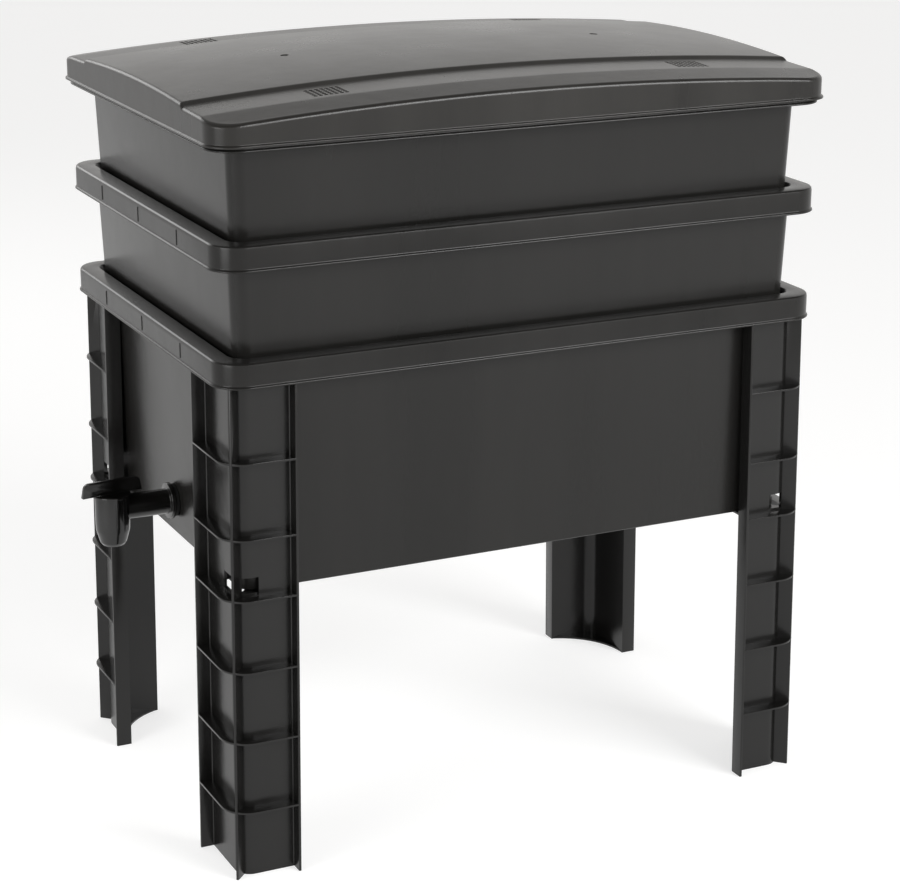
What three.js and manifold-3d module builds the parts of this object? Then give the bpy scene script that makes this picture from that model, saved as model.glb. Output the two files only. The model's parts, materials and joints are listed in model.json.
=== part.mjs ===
// A stacking wormery: a collector tank on four corner legs, two nested trays, a domed lid and a tap.
import * as THREE from "three";
import { mergeGeometries, mergeVertices } from "three/addons/utils/BufferGeometryUtils.js";
import Module from "manifold-3d";

const wasm = await Module();
wasm.setup();

// Sizes are in millimetres. X runs along the bin, Y across it and Z up from the ground.

// Rims, the turned-down flanges round the mouths of the tank and the trays
const RIM_LENGTH = 600;
const RIM_WIDTH = 421;
const RIM_CORNER = 27;
const RIM_SHELF = 18.5;
const RIM_THICKNESS = 3;
const RIM_EDGE = 1.2;
const SKIRT_HEIGHT = 21.5;
const SKIRT_THICKNESS = 2.5;
const BEAD_REACH = 1.3;
const BEAD_HEIGHT = 1.6;
const TICK_SPACING = 105;
const TICK_HEIGHT = 14;
const TICK_WIDTH = 1.2;
const TICK_REACH = 0.6;

// Walls and floors of the tank and the trays
const WALL = 2.8;
const BODY_CORNER = 14;
const FLOOR = 3;
const FLOOR_ROUND = 4;
const MOUTH_FLARE = 1;
const MOUTH_HEIGHT = 10;
const TANK_DEPTH = 215;
const TANK_TAPER = 3;
const TRAY_DEPTH = 150;
const TRAY_PITCH = 102.3;
const TRAY_HOLE = 8;
const TRAY_HOLES_LONG = 9;
const TRAY_HOLES_WIDE = 6;
const TRAY_HOLE_MARGIN = 38;

// Stacking ribs inside the tank and the trays, on which the tray above stands
const STACK_RIB_REACH = 9;
const STACK_RIB_WIDTH = 3;
const STACK_RIB_SPREAD_LONG = 340;
const STACK_RIB_SPREAD_WIDE = 180;

// Gaps between pieces
const SEAT_GAP = 0.3;
const NEST_GAP = 0.6;
const LEG_GAP = 0.4;
const CUT_OVERRUN = 5;

// Lid: heights above the upper tray's rim, at the lid's ends, and the arch added to them at its middle
const LID_GAP = 0.4;
const LID_THICKNESS = 2.8;
const LID_SKIRT_THICKNESS = 2;
const LID_SKIRT_DROP = 17;
const LID_CORNER = 29;
const LID_BEAD_REACH = 1.5;
const LID_PANEL_WIDTH = 262;
const LID_STEP_RUN = 5;
const LID_BAND_WIDTH = 33.5;
const LID_EDGE_HEIGHT = 3.2;
const LID_BAND_HEIGHT = 4.4;
const LID_STRIP_HEIGHT = 5.7;
const LID_PANEL_HEIGHT = 8.8;
const LID_CROWN_HEIGHT = 12.9;
const LID_EDGE_ARCH = 9.5;
const LID_STRIP_ARCH = 13.4;
const LID_CROWN_ARCH = 15;
const LID_ARCH_STEPS = 8;
const LID_LUG_REACH = 16;
const LID_LUG_WIDTH = 2.4;
const LID_LUG_SPREAD_LONG = 380;
const LID_LUG_SPREAD_WIDE = 210;
const VENT_SPREAD_LONG = 354;
const VENT_SPREAD_WIDE = 314;
const VENT_PITCH = 5.8;
const VENT_HOLE = 3;
const VENT_ROWS = 7;

// Legs: L-section corner legs with shelves, splayed a little towards the ground
const SEAT_HEIGHT = 272.7;
const LEG_ARM_LONG = 67.6;
const LEG_ARM_WIDE = 85.6;
const LEG_CORNER = 26;
const LEG_WEB_CORNER = 15;
const LEG_WALL = 2.5;
const LEG_SHELF = 2;
const LEG_SPLAY_LONG = 5.3;
const LEG_SPLAY_WIDE = 2;
const LEG_LOWER_SHELVES = 4;
const LEG_UPPER_SHELF_SHARES = [0.275, 0.614];
const LEG_SEAT_REACH = 20;
const LEG_SEAT_SETBACK = 46;
const LEG_WINDOW_HEIGHT = 17;
const LEG_WINDOW_LONG = 14.9;
const LEG_WINDOW_WIDE = 23;
const LEG_WINDOW_INSET = 4;
const SOLE_RADIUS = 74;

// Tap: a flanged barrel with an upright valve body, a spout under it and a plug turned by a wing
const TAP_OFFSET = -15;
const TAP_RISE = 33.2;
const TAP_FLANGE = 34.4;
const TAP_FLANGE_THICKNESS = 4.2;
const TAP_BARREL = 23.8;
const TAP_REACH = 53.5;
const TAP_BORE = 14;
const TAP_TAIL = 25;
const TAP_TAIL_LENGTH = 24;
const TAP_BODY = 32;
const TAP_BODY_ABOVE = 12.6;
const TAP_BODY_STRAIGHT = 16.5;
const TAP_BODY_BELOW = 34.7;
const TAP_SPOUT = 23;
const TAP_SPOUT_ROUND = 3;
const TAP_PLUG = 23.4;
const TAP_PLUG_BELOW = 18;
const TAP_PORT = 13;
const TAP_PLUG_ROOF = 8;
const TAP_CAP = 35.5;
const TAP_CAP_THICKNESS = 2.4;
const TAP_WING_FOOT = 1.8;
const TAP_WING_LENGTH = 60;
const TAP_WING_HEIGHT = 13.6;
const TAP_WING_THICKNESS = 5;
const TAP_WING_ROUND = 4;
const TAP_WING_SLANT = 2.5;
const TAP_TURN = THREE.MathUtils.degToRad(7);
const WASHER = 3;
const WASHER_WIDTH = 31;
const NUT_WIDTH = 34;
const NUT_THICKNESS = 8;
const NUT_SIDES = 6;
const O_RING_SECTION = 2.2;

// Climbing mound that stands in the tank
const LADDER_LENGTH = 190;
const LADDER_WIDTH = 130;
const LADDER_TOP_LENGTH = 70;
const LADDER_TOP_WIDTH = 40;
const LADDER_CORNER = 12;
const LADDER_WALL = 2;
const LADDER_HEADROOM = 3;
const LADDER_SLOT = 7;
const LADDER_SLOT_LEVELS = 5;
const LADDER_SLOT_SHARE = 0.5;

// Numbers of flat faces on round stretches
const CORNER_STEPS = 5;
const LEG_CORNER_STEPS = 3;
const ROUND_STEPS = 24;
const SMALL_ROUND_STEPS = 16;
const RING_STEPS = 6;

// Sizes that follow from the ones above; a draft is how far a wall leans in over its height
const trayDraft = (WALL + NEST_GAP) / TRAY_PITCH;
const tankDraft = TANK_TAPER / TANK_DEPTH;
const bodyHalfLength = RIM_LENGTH / 2 - RIM_SHELF;
const bodyHalfWidth = RIM_WIDTH / 2 - RIM_SHELF;
const tankBottom = SEAT_HEIGHT + SEAT_GAP;
const tankTop = tankBottom + TANK_DEPTH;
const lowerTrayTop = tankTop + TRAY_PITCH;
const upperTrayTop = lowerTrayTop + TRAY_PITCH;
const nestDepth = TRAY_DEPTH - TRAY_PITCH;
const lidOverlap = TICK_REACH + LID_GAP + LID_SKIRT_THICKNESS;
const lidHalfLength = RIM_LENGTH / 2 + lidOverlap;
const lidHalfWidth = RIM_WIDTH / 2 + lidOverlap;
const legTop = tankTop - MOUTH_HEIGHT - BEAD_REACH;

// Finishes
const binPlastic = { color: 0x343332, roughness: 0.42, metalness: 0 };
const legPlastic = { color: 0x363535, roughness: 0.4, metalness: 0 };
const tapPlastic = { color: 0x2b2a29, roughness: 0.34, metalness: 0 };
const sealRubber = { color: 0x161616, roughness: 0.75, metalness: 0 };

const wormery = new THREE.Group();
const bin = new THREE.Group();
wormery.add(bin);

function addPiece(parent, name, geometry, finish) {
  const mesh = new THREE.Mesh(geometry, new THREE.MeshStandardMaterial(finish));
  mesh.name = name;
  parent.add(mesh);
  return mesh;
}

// Turns a closed geometry into a solid that can be joined and cut.
function solidFrom(geometry) {
  const bare = geometry.clone();
  bare.deleteAttribute("normal");
  bare.deleteAttribute("uv");
  const welded = mergeVertices(bare);
  const vertProperties = new Float32Array(welded.attributes.position.array);
  const triVerts = new Uint32Array(welded.index.array);
  return new wasm.Manifold(new wasm.Mesh({ numProp: 3, vertProperties, triVerts }));
}

function geometryFrom(solid) {
  const { vertProperties, triVerts } = solid.getMesh();
  const geometry = new THREE.BufferGeometry();
  geometry.setAttribute("position", new THREE.BufferAttribute(new Float32Array(vertProperties), 3));
  geometry.setIndex(new THREE.BufferAttribute(new Uint32Array(triVerts), 1));
  geometry.computeVertexNormals();
  return geometry;
}

function box(x0, x1, y0, y1, z0, z1) {
  const geometry = new THREE.BoxGeometry(x1 - x0, y1 - y0, z1 - z0);
  return geometry.translate((x0 + x1) / 2, (y0 + y1) / 2, (z0 + z1) / 2);
}

// Extrudes a flat shape of the XY plane between two heights.
function prism(shape, z0, z1) {
  const options = { depth: z1 - z0, bevelEnabled: false, curveSegments: LEG_CORNER_STEPS };
  return new THREE.ExtrudeGeometry(shape, options).translate(0, 0, z0);
}

// A rectangle with rounded corners at one height, as a loop of points.
function ring(halfLength, halfWidth, corner, height) {
  const points = [];
  for (let quarter = 0; quarter < 4; quarter += 1) {
    const signX = quarter === 0 || quarter === 3 ? 1 : -1;
    const signY = quarter < 2 ? 1 : -1;
    for (let step = 0; step <= CORNER_STEPS; step += 1) {
      const angle = ((quarter + step / CORNER_STEPS) * Math.PI) / 2;
      const x = signX * (halfLength - corner) + corner * Math.cos(angle);
      const y = signY * (halfWidth - corner) + corner * Math.sin(angle);
      points.push(x, y, height);
    }
  }
  return points;
}

// Skins a list of rings into one closed body, capped at the first and the last ring.
function stackRings(rings) {
  const count = rings[0].length / 3;
  const index = [];
  for (let i = 1; i < count - 1; i += 1) {
    const last = (rings.length - 1) * count;
    index.push(0, i + 1, i);
    index.push(last, last + i, last + i + 1);
  }
  for (let level = 0; level < rings.length - 1; level += 1) {
    for (let i = 0; i < count; i += 1) {
      const a = level * count + i;
      const b = level * count + ((i + 1) % count);
      index.push(a, b, b + count);
      index.push(a, b + count, a + count);
    }
  }
  const geometry = new THREE.BufferGeometry();
  geometry.setAttribute("position", new THREE.Float32BufferAttribute(rings.flat(), 3));
  geometry.setIndex(index);
  return geometry;
}

// A ring on the outside of a wall that leans in below the rim, whose top is at the height top.
function wallRing(draft, top, height, inset, corner) {
  const taper = draft * (top - height) + inset;
  return ring(bodyHalfLength - taper, bodyHalfWidth - taper, corner, height);
}

function rimRing(reach, corner, height) {
  return ring(RIM_LENGTH / 2 + reach, RIM_WIDTH / 2 + reach, corner, height);
}

// The shell that the tank and the trays share: floor, tapered wall, rim and skirt.
function tub(draft, top, depth) {
  const bottom = top - depth;
  const skirtBottom = top - SKIRT_HEIGHT;
  const innerCorner = BODY_CORNER - WALL;
  const outerMouth = MOUTH_FLARE + WALL;
  const mouth = (reach, height) =>
    ring(bodyHalfLength + reach, bodyHalfWidth + reach, BODY_CORNER + reach, height);
  return stackRings([
    wallRing(draft, top, bottom, FLOOR_ROUND, BODY_CORNER - FLOOR_ROUND),
    wallRing(draft, top, bottom + FLOOR_ROUND, 0, BODY_CORNER),
    wallRing(draft, top, top - MOUTH_HEIGHT, 0, BODY_CORNER),
    mouth(outerMouth, top - RIM_THICKNESS),
    rimRing(-SKIRT_THICKNESS, RIM_CORNER - SKIRT_THICKNESS, top - RIM_THICKNESS),
    rimRing(-SKIRT_THICKNESS, RIM_CORNER - SKIRT_THICKNESS, skirtBottom),
    rimRing(BEAD_REACH, RIM_CORNER + BEAD_REACH, skirtBottom),
    rimRing(BEAD_REACH, RIM_CORNER + BEAD_REACH, skirtBottom + BEAD_HEIGHT),
    rimRing(0, RIM_CORNER, skirtBottom + 2 * BEAD_HEIGHT),
    rimRing(0, RIM_CORNER, top - RIM_EDGE),
    rimRing(-RIM_EDGE, RIM_CORNER - RIM_EDGE, top),
    mouth(MOUTH_FLARE, top),
    wallRing(draft, top, top - MOUTH_HEIGHT, WALL, innerCorner),
    wallRing(draft, top, bottom + FLOOR, WALL, innerCorner),
  ]);
}

// A rib on the inside of the wall, from the floor to the height at which the next tray stands.
// The wall it grows from is the short one when along is false, and the long one when it is true.
function stackRib(draft, top, depth, along, place, side) {
  const bottom = top - depth + FLOOR / 2;
  const ribTop = top - nestDepth - SEAT_GAP;
  const half = along ? bodyHalfWidth : bodyHalfLength;
  const root = (height) => half - draft * (top - height) - WALL / 2;
  const face = root(bottom) - WALL / 2 - STACK_RIB_REACH;
  const outline = new THREE.Shape();
  outline.moveTo(face, bottom);
  outline.lineTo(root(bottom), bottom);
  outline.lineTo(root(ribTop), ribTop);
  outline.lineTo(face, ribTop);
  const rib = prism(outline, -STACK_RIB_WIDTH / 2, STACK_RIB_WIDTH / 2);
  rib.rotateX(Math.PI / 2);
  rib.rotateZ((along ? Math.PI / 2 : 0) + (side < 0 ? Math.PI : 0));
  return along ? rib.translate(place, 0, 0) : rib.translate(0, place, 0);
}

function stackRibs(draft, top, depth) {
  const ribs = [];
  for (const side of [-1, 1]) {
    for (const end of [-1, 1]) {
      ribs.push(stackRib(draft, top, depth, true, (end * STACK_RIB_SPREAD_LONG) / 2, side));
      ribs.push(stackRib(draft, top, depth, false, (end * STACK_RIB_SPREAD_WIDE) / 2, side));
    }
  }
  return mergeGeometries(ribs.map(plain));
}

// Geometries are joined into one list without their normals and texture places.
function plain(geometry) {
  const bare = geometry.index ? geometry.toNonIndexed() : geometry.clone();
  bare.deleteAttribute("normal");
  bare.deleteAttribute("uv");
  return bare;
}

// Three small upright ticks on the skirt over each end of the bin.
function skirtTicks(top) {
  const ticks = [];
  const low = top - (SKIRT_HEIGHT + TICK_HEIGHT) / 2;
  for (const side of [-1, 1]) {
    for (const place of [-TICK_SPACING, 0, TICK_SPACING]) {
      const near = side * (RIM_LENGTH / 2 - SKIRT_THICKNESS / 2);
      const far = side * (RIM_LENGTH / 2 + TICK_REACH);
      const y0 = place - TICK_WIDTH / 2;
      const x0 = Math.min(near, far);
      ticks.push(box(x0, Math.max(near, far), y0, y0 + TICK_WIDTH, low, low + TICK_HEIGHT));
    }
  }
  return mergeGeometries(ticks.map(plain));
}

function spread(count, length) {
  const places = [];
  for (let i = 0; i < count; i += 1) {
    places.push((i / (count - 1) - 1 / 2) * length);
  }
  return places;
}

function trayHoles(top) {
  const holes = [];
  const bottom = top - TRAY_DEPTH;
  const half = TRAY_HOLE / 2;
  for (const x of spread(TRAY_HOLES_LONG, 2 * (bodyHalfLength - TRAY_HOLE_MARGIN))) {
    for (const y of spread(TRAY_HOLES_WIDE, 2 * (bodyHalfWidth - TRAY_HOLE_MARGIN))) {
      const z0 = bottom - CUT_OVERRUN;
      const z1 = bottom + FLOOR + CUT_OVERRUN;
      holes.push(box(x - half, x + half, y - half, y + half, z0, z1));
    }
  }
  return mergeGeometries(holes.map(plain));
}

function tubSolid(draft, top, depth) {
  const shell = solidFrom(tub(draft, top, depth));
  const ribbed = shell.add(solidFrom(stackRibs(draft, top, depth)));
  return ribbed.add(solidFrom(skirtTicks(top)));
}

// Trays
for (const [name, top] of [["lower_tray", lowerTrayTop], ["upper_tray", upperTrayTop]]) {
  const tray = tubSolid(trayDraft, top, TRAY_DEPTH).subtract(solidFrom(trayHoles(top)));
  addPiece(bin, name, geometryFrom(tray), binPlastic);
}

// Collector tank, with the tap's hole in its left end
const tapLevel = tankBottom + TAP_RISE;
const tapWall = -(bodyHalfLength - tankDraft * (tankTop - tapLevel));
const tapHole = new THREE.CylinderGeometry(
  TAP_TAIL / 2 + SEAT_GAP, TAP_TAIL / 2 + SEAT_GAP, WALL + 2 * CUT_OVERRUN, SMALL_ROUND_STEPS);
tapHole.rotateZ(Math.PI / 2).translate(tapWall + WALL / 2, TAP_OFFSET, tapLevel);
const tank = tubSolid(tankDraft, tankTop, TANK_DEPTH).subtract(solidFrom(tapHole));
addPiece(bin, "collector_tank", geometryFrom(tank), binPlastic);

// Lid: its height over the upper rim at a place, from lines that run the length of the lid
const lidLines = [
  { y: LID_PANEL_WIDTH / 2, height: LID_PANEL_HEIGHT, arch: LID_STRIP_ARCH },
  { y: LID_PANEL_WIDTH / 2 + LID_STEP_RUN, height: LID_STRIP_HEIGHT, arch: LID_STRIP_ARCH },
  { y: lidHalfWidth - LID_BAND_WIDTH, height: LID_BAND_HEIGHT, arch: LID_STRIP_ARCH },
  { y: lidHalfWidth, height: LID_EDGE_HEIGHT, arch: LID_EDGE_ARCH },
];

function lidHeight(x, y) {
  const across = Math.abs(y);
  const bow = 1 - (x / lidHalfLength) ** 2;
  if (across <= lidLines[0].y) {
    const fall = (across / lidLines[0].y) ** 2;
    const height = THREE.MathUtils.lerp(LID_CROWN_HEIGHT, lidLines[0].height, fall);
    return height + bow * THREE.MathUtils.lerp(LID_CROWN_ARCH, lidLines[0].arch, fall);
  }
  const outer = Math.max(1, lidLines.findIndex((line) => line.y >= across));
  const [a, b] = [lidLines[outer - 1], lidLines[outer]];
  const share = (across - a.y) / (b.y - a.y);
  const height = THREE.MathUtils.lerp(a.height, b.height, share);
  return height + bow * THREE.MathUtils.lerp(a.arch, b.arch, share);
}

// A block under the lid's arched surface, lowered by drop, down to a flat bottom.
function lidBlock(drop, bottom) {
  const lines = lidLines.map((line) => line.y);
  const ys = [...lines.map((y) => -y).reverse(), -lines[0] / 2, 0, lines[0] / 2, ...lines];
  const xs = spread(LID_ARCH_STEPS + 1, 2 * lidHalfLength);
  const points = [];
  const index = [];
  for (const x of xs) {
    for (const y of ys) {
      points.push(x, y, upperTrayTop + lidHeight(x, y) - drop);
    }
  }
  const across = ys.length;
  for (let i = 0; i < xs.length - 1; i += 1) {
    for (let j = 0; j < across - 1; j += 1) {
      const a = i * across + j;
      index.push(a, a + across, a + across + 1);
      index.push(a, a + across + 1, a + 1);
    }
  }
  const edge = [];
  for (let i = 0; i < xs.length - 1; i += 1) {
    edge.push(i * across);
  }
  for (let j = 0; j < across - 1; j += 1) {
    edge.push((xs.length - 1) * across + j);
  }
  for (let i = xs.length - 1; i > 0; i -= 1) {
    edge.push(i * across + across - 1);
  }
  for (let j = across - 1; j > 0; j -= 1) {
    edge.push(j);
  }
  const first = points.length / 3;
  for (const corner of edge) {
    points.push(points[3 * corner], points[3 * corner + 1], bottom);
  }
  const centre = points.length / 3;
  points.push(0, 0, bottom);
  for (let k = 0; k < edge.length; k += 1) {
    const next = (k + 1) % edge.length;
    index.push(first + k, first + next, edge[next]);
    index.push(first + k, edge[next], edge[k]);
    index.push(centre, first + next, first + k);
  }
  const geometry = new THREE.BufferGeometry();
  geometry.setAttribute("position", new THREE.Float32BufferAttribute(points, 3));
  geometry.setIndex(index);
  return geometry;
}

const lidBottom = upperTrayTop - LID_SKIRT_DROP;
const lidCeiling = upperTrayTop + LID_CROWN_HEIGHT + LID_CROWN_ARCH + CUT_OVERRUN;

function lidRing(reach, height) {
  return ring(lidHalfLength + reach, lidHalfWidth + reach, LID_CORNER + reach, height);
}

// Lugs inside the lid's skirt stand on the upper tray's rim and carry the lid.
function lidLugs() {
  const lugs = [];
  const low = upperTrayTop + SEAT_GAP;
  const half = LID_LUG_WIDTH / 2;
  for (const side of [-1, 1]) {
    for (const place of [-LID_LUG_SPREAD_LONG / 2, 0, LID_LUG_SPREAD_LONG / 2]) {
      const y = side * (lidHalfWidth - LID_LUG_REACH / 2);
      const reach = LID_LUG_REACH / 2;
      lugs.push(box(place - half, place + half, y - reach, y + reach, low, lidCeiling));
    }
    for (const place of [-LID_LUG_SPREAD_WIDE / 2, LID_LUG_SPREAD_WIDE / 2]) {
      const x = side * (lidHalfLength - LID_LUG_REACH / 2);
      const reach = LID_LUG_REACH / 2;
      lugs.push(box(x - reach, x + reach, place - half, place + half, low, lidCeiling));
    }
  }
  return mergeGeometries(lugs.map(plain));
}

function lidVents() {
  const holes = [];
  const half = VENT_HOLE / 2;
  for (const centreX of [-VENT_SPREAD_LONG / 2, VENT_SPREAD_LONG / 2]) {
    for (const centreY of [-VENT_SPREAD_WIDE / 2, VENT_SPREAD_WIDE / 2]) {
      for (const offsetX of spread(VENT_ROWS, (VENT_ROWS - 1) * VENT_PITCH)) {
        for (const offsetY of spread(VENT_ROWS, (VENT_ROWS - 1) * VENT_PITCH)) {
          const x = centreX + offsetX;
          const y = centreY + offsetY;
          holes.push(box(x - half, x + half, y - half, y + half, upperTrayTop, lidCeiling));
        }
      }
    }
  }
  return mergeGeometries(holes.map(plain));
}

function lidSolid() {
  const outline = solidFrom(stackRings([
    lidRing(LID_BEAD_REACH, lidBottom),
    lidRing(LID_BEAD_REACH, lidBottom + BEAD_HEIGHT),
    lidRing(0, lidBottom + 2 * BEAD_HEIGHT),
    lidRing(0, lidCeiling),
  ]));
  const hollow = solidFrom(stackRings([
    lidRing(-LID_SKIRT_THICKNESS, lidBottom - CUT_OVERRUN),
    lidRing(-LID_SKIRT_THICKNESS, lidCeiling),
  ]));
  const under = lidBlock(LID_THICKNESS, lidBottom - 2 * CUT_OVERRUN);
  const inside = solidFrom(under).intersect(hollow).subtract(solidFrom(lidLugs()));
  const beadShareX = (lidHalfLength + LID_BEAD_REACH) / lidHalfLength;
  const beadShareY = (lidHalfWidth + LID_BEAD_REACH) / lidHalfWidth;
  const arched = lidBlock(0, lidBottom).scale(beadShareX, beadShareY, 1);
  const outside = solidFrom(arched).intersect(outline);
  return outside.subtract(inside).subtract(solidFrom(lidVents()));
}
addPiece(bin, "lid", geometryFrom(lidSolid()), binPlastic);

// Legs are drawn for the corner at +X and +Y, upright, and then splayed and mirrored.
const legOuterX = RIM_LENGTH / 2 - SKIRT_THICKNESS - LEG_GAP;
const legOuterY = RIM_WIDTH / 2 - SKIRT_THICKNESS - LEG_GAP;
const legInnerX = bodyHalfLength - tankDraft * (tankTop - legTop) + LEG_GAP;
const legInnerY = bodyHalfWidth - tankDraft * (tankTop - legTop) + LEG_GAP;
const legWebX = legInnerX + LEG_WALL;
const legWebY = legInnerY + LEG_WALL;
const legEndX = legOuterX - LEG_ARM_LONG;
const legEndY = legOuterY - LEG_ARM_WIDE;

// An L in plan, between an outer corner and the leg's inner faces.
function angleShape(outerX, outerY, outerCorner, innerCorner) {
  const shape = new THREE.Shape();
  shape.moveTo(legEndX, legInnerY);
  shape.lineTo(legInnerX - innerCorner, legInnerY);
  shape.absarc(legInnerX - innerCorner, legInnerY - innerCorner, innerCorner, Math.PI / 2, 0, true);
  shape.lineTo(legInnerX, legEndY);
  shape.lineTo(outerX, legEndY);
  shape.absarc(outerX - outerCorner, outerY - outerCorner, outerCorner, 0, Math.PI / 2, false);
  shape.lineTo(legEndX, outerY);
  return shape;
}

// The rib that runs out from the web's corner to the shelves' corner.
function cornerRib() {
  const lean = Math.SQRT1_2;
  const web = new THREE.Vector2(legWebX, legWebY).subScalar(LEG_WEB_CORNER * (1 - lean));
  const tip = new THREE.Vector2(legOuterX, legOuterY).subScalar(LEG_CORNER * (1 - lean));
  const along = tip.clone().sub(web).normalize();
  const aside = new THREE.Vector2(-along.y, along.x).multiplyScalar(LEG_WALL / 2);
  const root = web.clone().addScaledVector(along, -LEG_WALL / 2);
  const shape = new THREE.Shape([
    root.clone().add(aside),
    root.clone().sub(aside),
    tip.clone().sub(aside),
    tip.clone().add(aside),
  ]);
  return shape;
}

// The sole closes the foot inside the L, up to a hollow arc from one arm's end to the other's.
function soleShape() {
  const shape = new THREE.Shape();
  const a = new THREE.Vector2(legEndX + LEG_WALL, legInnerY);
  const b = new THREE.Vector2(legInnerX, legEndY + LEG_WALL);
  const middle = a.clone().add(b).divideScalar(2);
  const chord = b.clone().sub(a);
  const offset = Math.sqrt(SOLE_RADIUS ** 2 - chord.lengthSq() / 4);
  const inward = new THREE.Vector2(chord.y, -chord.x).normalize();
  const centre = middle.clone().addScaledVector(inward, offset);
  const from = Math.atan2(b.y - centre.y, b.x - centre.x);
  const to = Math.atan2(a.y - centre.y, a.x - centre.x);
  shape.moveTo(a.x, a.y);
  shape.lineTo(a.x, legWebY - LEG_WALL / 2);
  shape.lineTo(legWebX - LEG_WEB_CORNER, legWebY - LEG_WALL / 2);
  shape.lineTo(legWebX - LEG_WALL / 2, legWebY - LEG_WEB_CORNER);
  shape.lineTo(legWebX - LEG_WALL / 2, b.y);
  shape.lineTo(b.x, b.y);
  shape.absarc(centre.x, centre.y, SOLE_RADIUS, from, to, false);
  return shape;
}

// The ledge under the tank's long side runs to the leg's corner, where it is cut at 45 degrees.
function seatShape() {
  const centreX = legWebX - LEG_WEB_CORNER;
  const centreY = legWebY - LEG_WEB_CORNER;
  const shape = new THREE.Shape();
  shape.moveTo(legEndX, legWebY - LEG_WALL / 2);
  shape.lineTo(centreX, legWebY - LEG_WALL / 2);
  shape.absarc(centreX, centreY, LEG_WEB_CORNER - LEG_WALL / 2, Math.PI / 2, Math.PI / 4, true);
  shape.lineTo(legInnerX - LEG_SEAT_REACH, legInnerY - LEG_SEAT_REACH);
  shape.lineTo(legEndX, legInnerY - LEG_SEAT_REACH);
  return shape;
}

function legGeometry(signX, signY) {
  const innerCorner = LEG_WEB_CORNER - LEG_WALL;
  const web = prism(angleShape(legWebX, legWebY, LEG_WEB_CORNER, innerCorner), 0, legTop);
  const parts = [
    prism(cornerRib(), 0, legTop),
    box(legEndX, legEndX + LEG_WALL, legInnerY, legOuterY, 0, legTop),
    box(legInnerX, legOuterX, legEndY, legEndY + LEG_WALL, 0, legTop),
    prism(soleShape(), 0, LEG_SHELF),
  ];
  const shelf = angleShape(legOuterX, legOuterY, LEG_CORNER, innerCorner);
  const seatShelf = SEAT_HEIGHT - LEG_SHELF;
  for (let level = 1; level <= LEG_LOWER_SHELVES; level += 1) {
    const height = (seatShelf * level) / LEG_LOWER_SHELVES;
    parts.push(prism(shelf, height - LEG_SHELF, height));
  }
  for (const share of LEG_UPPER_SHELF_SHARES) {
    const height = THREE.MathUtils.lerp(seatShelf, legTop, share);
    parts.push(prism(shelf, height - LEG_SHELF, height));
  }
  parts.push(prism(seatShape(), seatShelf, SEAT_HEIGHT));
  const seatY = legInnerY - LEG_SEAT_SETBACK;
  const rootX = legInnerX + LEG_WALL / 2;
  parts.push(box(legInnerX - LEG_SEAT_REACH, rootX, legEndY, seatY, seatShelf, SEAT_HEIGHT));
  let leg = solidFrom(web);
  for (const part of parts) {
    leg = leg.add(solidFrom(part));
  }
  const top = seatShelf + LEG_WINDOW_HEIGHT;
  const farX = legInnerX - LEG_WINDOW_INSET;
  const farY = legInnerY - LEG_WINDOW_INSET;
  const nearX = farX - LEG_WINDOW_LONG;
  const nearY = farY - LEG_WINDOW_WIDE;
  const backX = legInnerX - CUT_OVERRUN;
  const backY = legInnerY - CUT_OVERRUN;
  leg = leg.subtract(solidFrom(box(nearX, farX, backY, legWebY, SEAT_HEIGHT, top)));
  leg = leg.subtract(solidFrom(box(backX, legWebX, nearY, farY, SEAT_HEIGHT, top)));
  return placeLeg(geometryFrom(leg), signX, signY);
}

function placeLeg(geometry, signX, signY) {
  const place = geometry.attributes.position;
  for (let i = 0; i < place.count; i += 1) {
    const fall = 1 - place.getZ(i) / legTop;
    place.setX(i, signX * (place.getX(i) + LEG_SPLAY_LONG * fall));
    place.setY(i, signY * (place.getY(i) + LEG_SPLAY_WIDE * fall));
  }
  if (signX * signY < 0) {
    const corners = geometry.index.array;
    for (let i = 0; i < corners.length; i += 3) {
      [corners[i], corners[i + 1]] = [corners[i + 1], corners[i]];
    }
  }
  geometry.computeVertexNormals();
  return geometry;
}

for (const [side, signX] of [["left", -1], ["right", 1]]) {
  for (const [end, signY] of [["front", -1], ["back", 1]]) {
    addPiece(bin, `${end}_${side}_leg`, legGeometry(signX, signY), legPlastic);
  }
}

// Tap, drawn round its own axis: X is zero on the tank's outer face and falls away from the tank.
const tap = new THREE.Group();
tap.position.set(tapWall, TAP_OFFSET, tapLevel);
bin.add(tap);

function upright(radius, z0, z1, steps) {
  const cylinder = new THREE.CylinderGeometry(radius, radius, z1 - z0, steps);
  return cylinder.rotateX(Math.PI / 2).translate(0, 0, (z0 + z1) / 2);
}

function level(radius, x0, x1, steps) {
  const cylinder = new THREE.CylinderGeometry(radius, radius, x1 - x0, steps);
  return cylinder.rotateZ(Math.PI / 2).translate((x0 + x1) / 2, 0, 0);
}

// A flat ring round the X axis, between two places along it.
function flatRing(outer, inner, x0, x1, steps) {
  const profile = [[inner, x0], [outer, x0], [outer, x1], [inner, x1], [inner, x0]];
  const points = profile.map(([radius, along]) => new THREE.Vector2(radius, along));
  return new THREE.LatheGeometry(points, steps).rotateZ(-Math.PI / 2);
}

// Leans the face of a ring at the place x, so that it lies on the tank's wall.
function slantFace(geometry, x) {
  const place = geometry.attributes.position;
  for (let i = 0; i < place.count; i += 1) {
    if (Math.abs(place.getX(i) - x) < SEAT_GAP) {
      place.setX(i, place.getX(i) - tankDraft * place.getZ(i));
    }
  }
  return geometry;
}

function welded(geometry) {
  return geometryFrom(solidFrom(geometry));
}

const flangeBack = -(SEAT_GAP + WASHER + SEAT_GAP);
const flangeFront = flangeBack - TAP_FLANGE_THICKNESS;
const valveX = flangeFront - TAP_REACH;
const plugBore = TAP_PLUG / 2 + SEAT_GAP;

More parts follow.
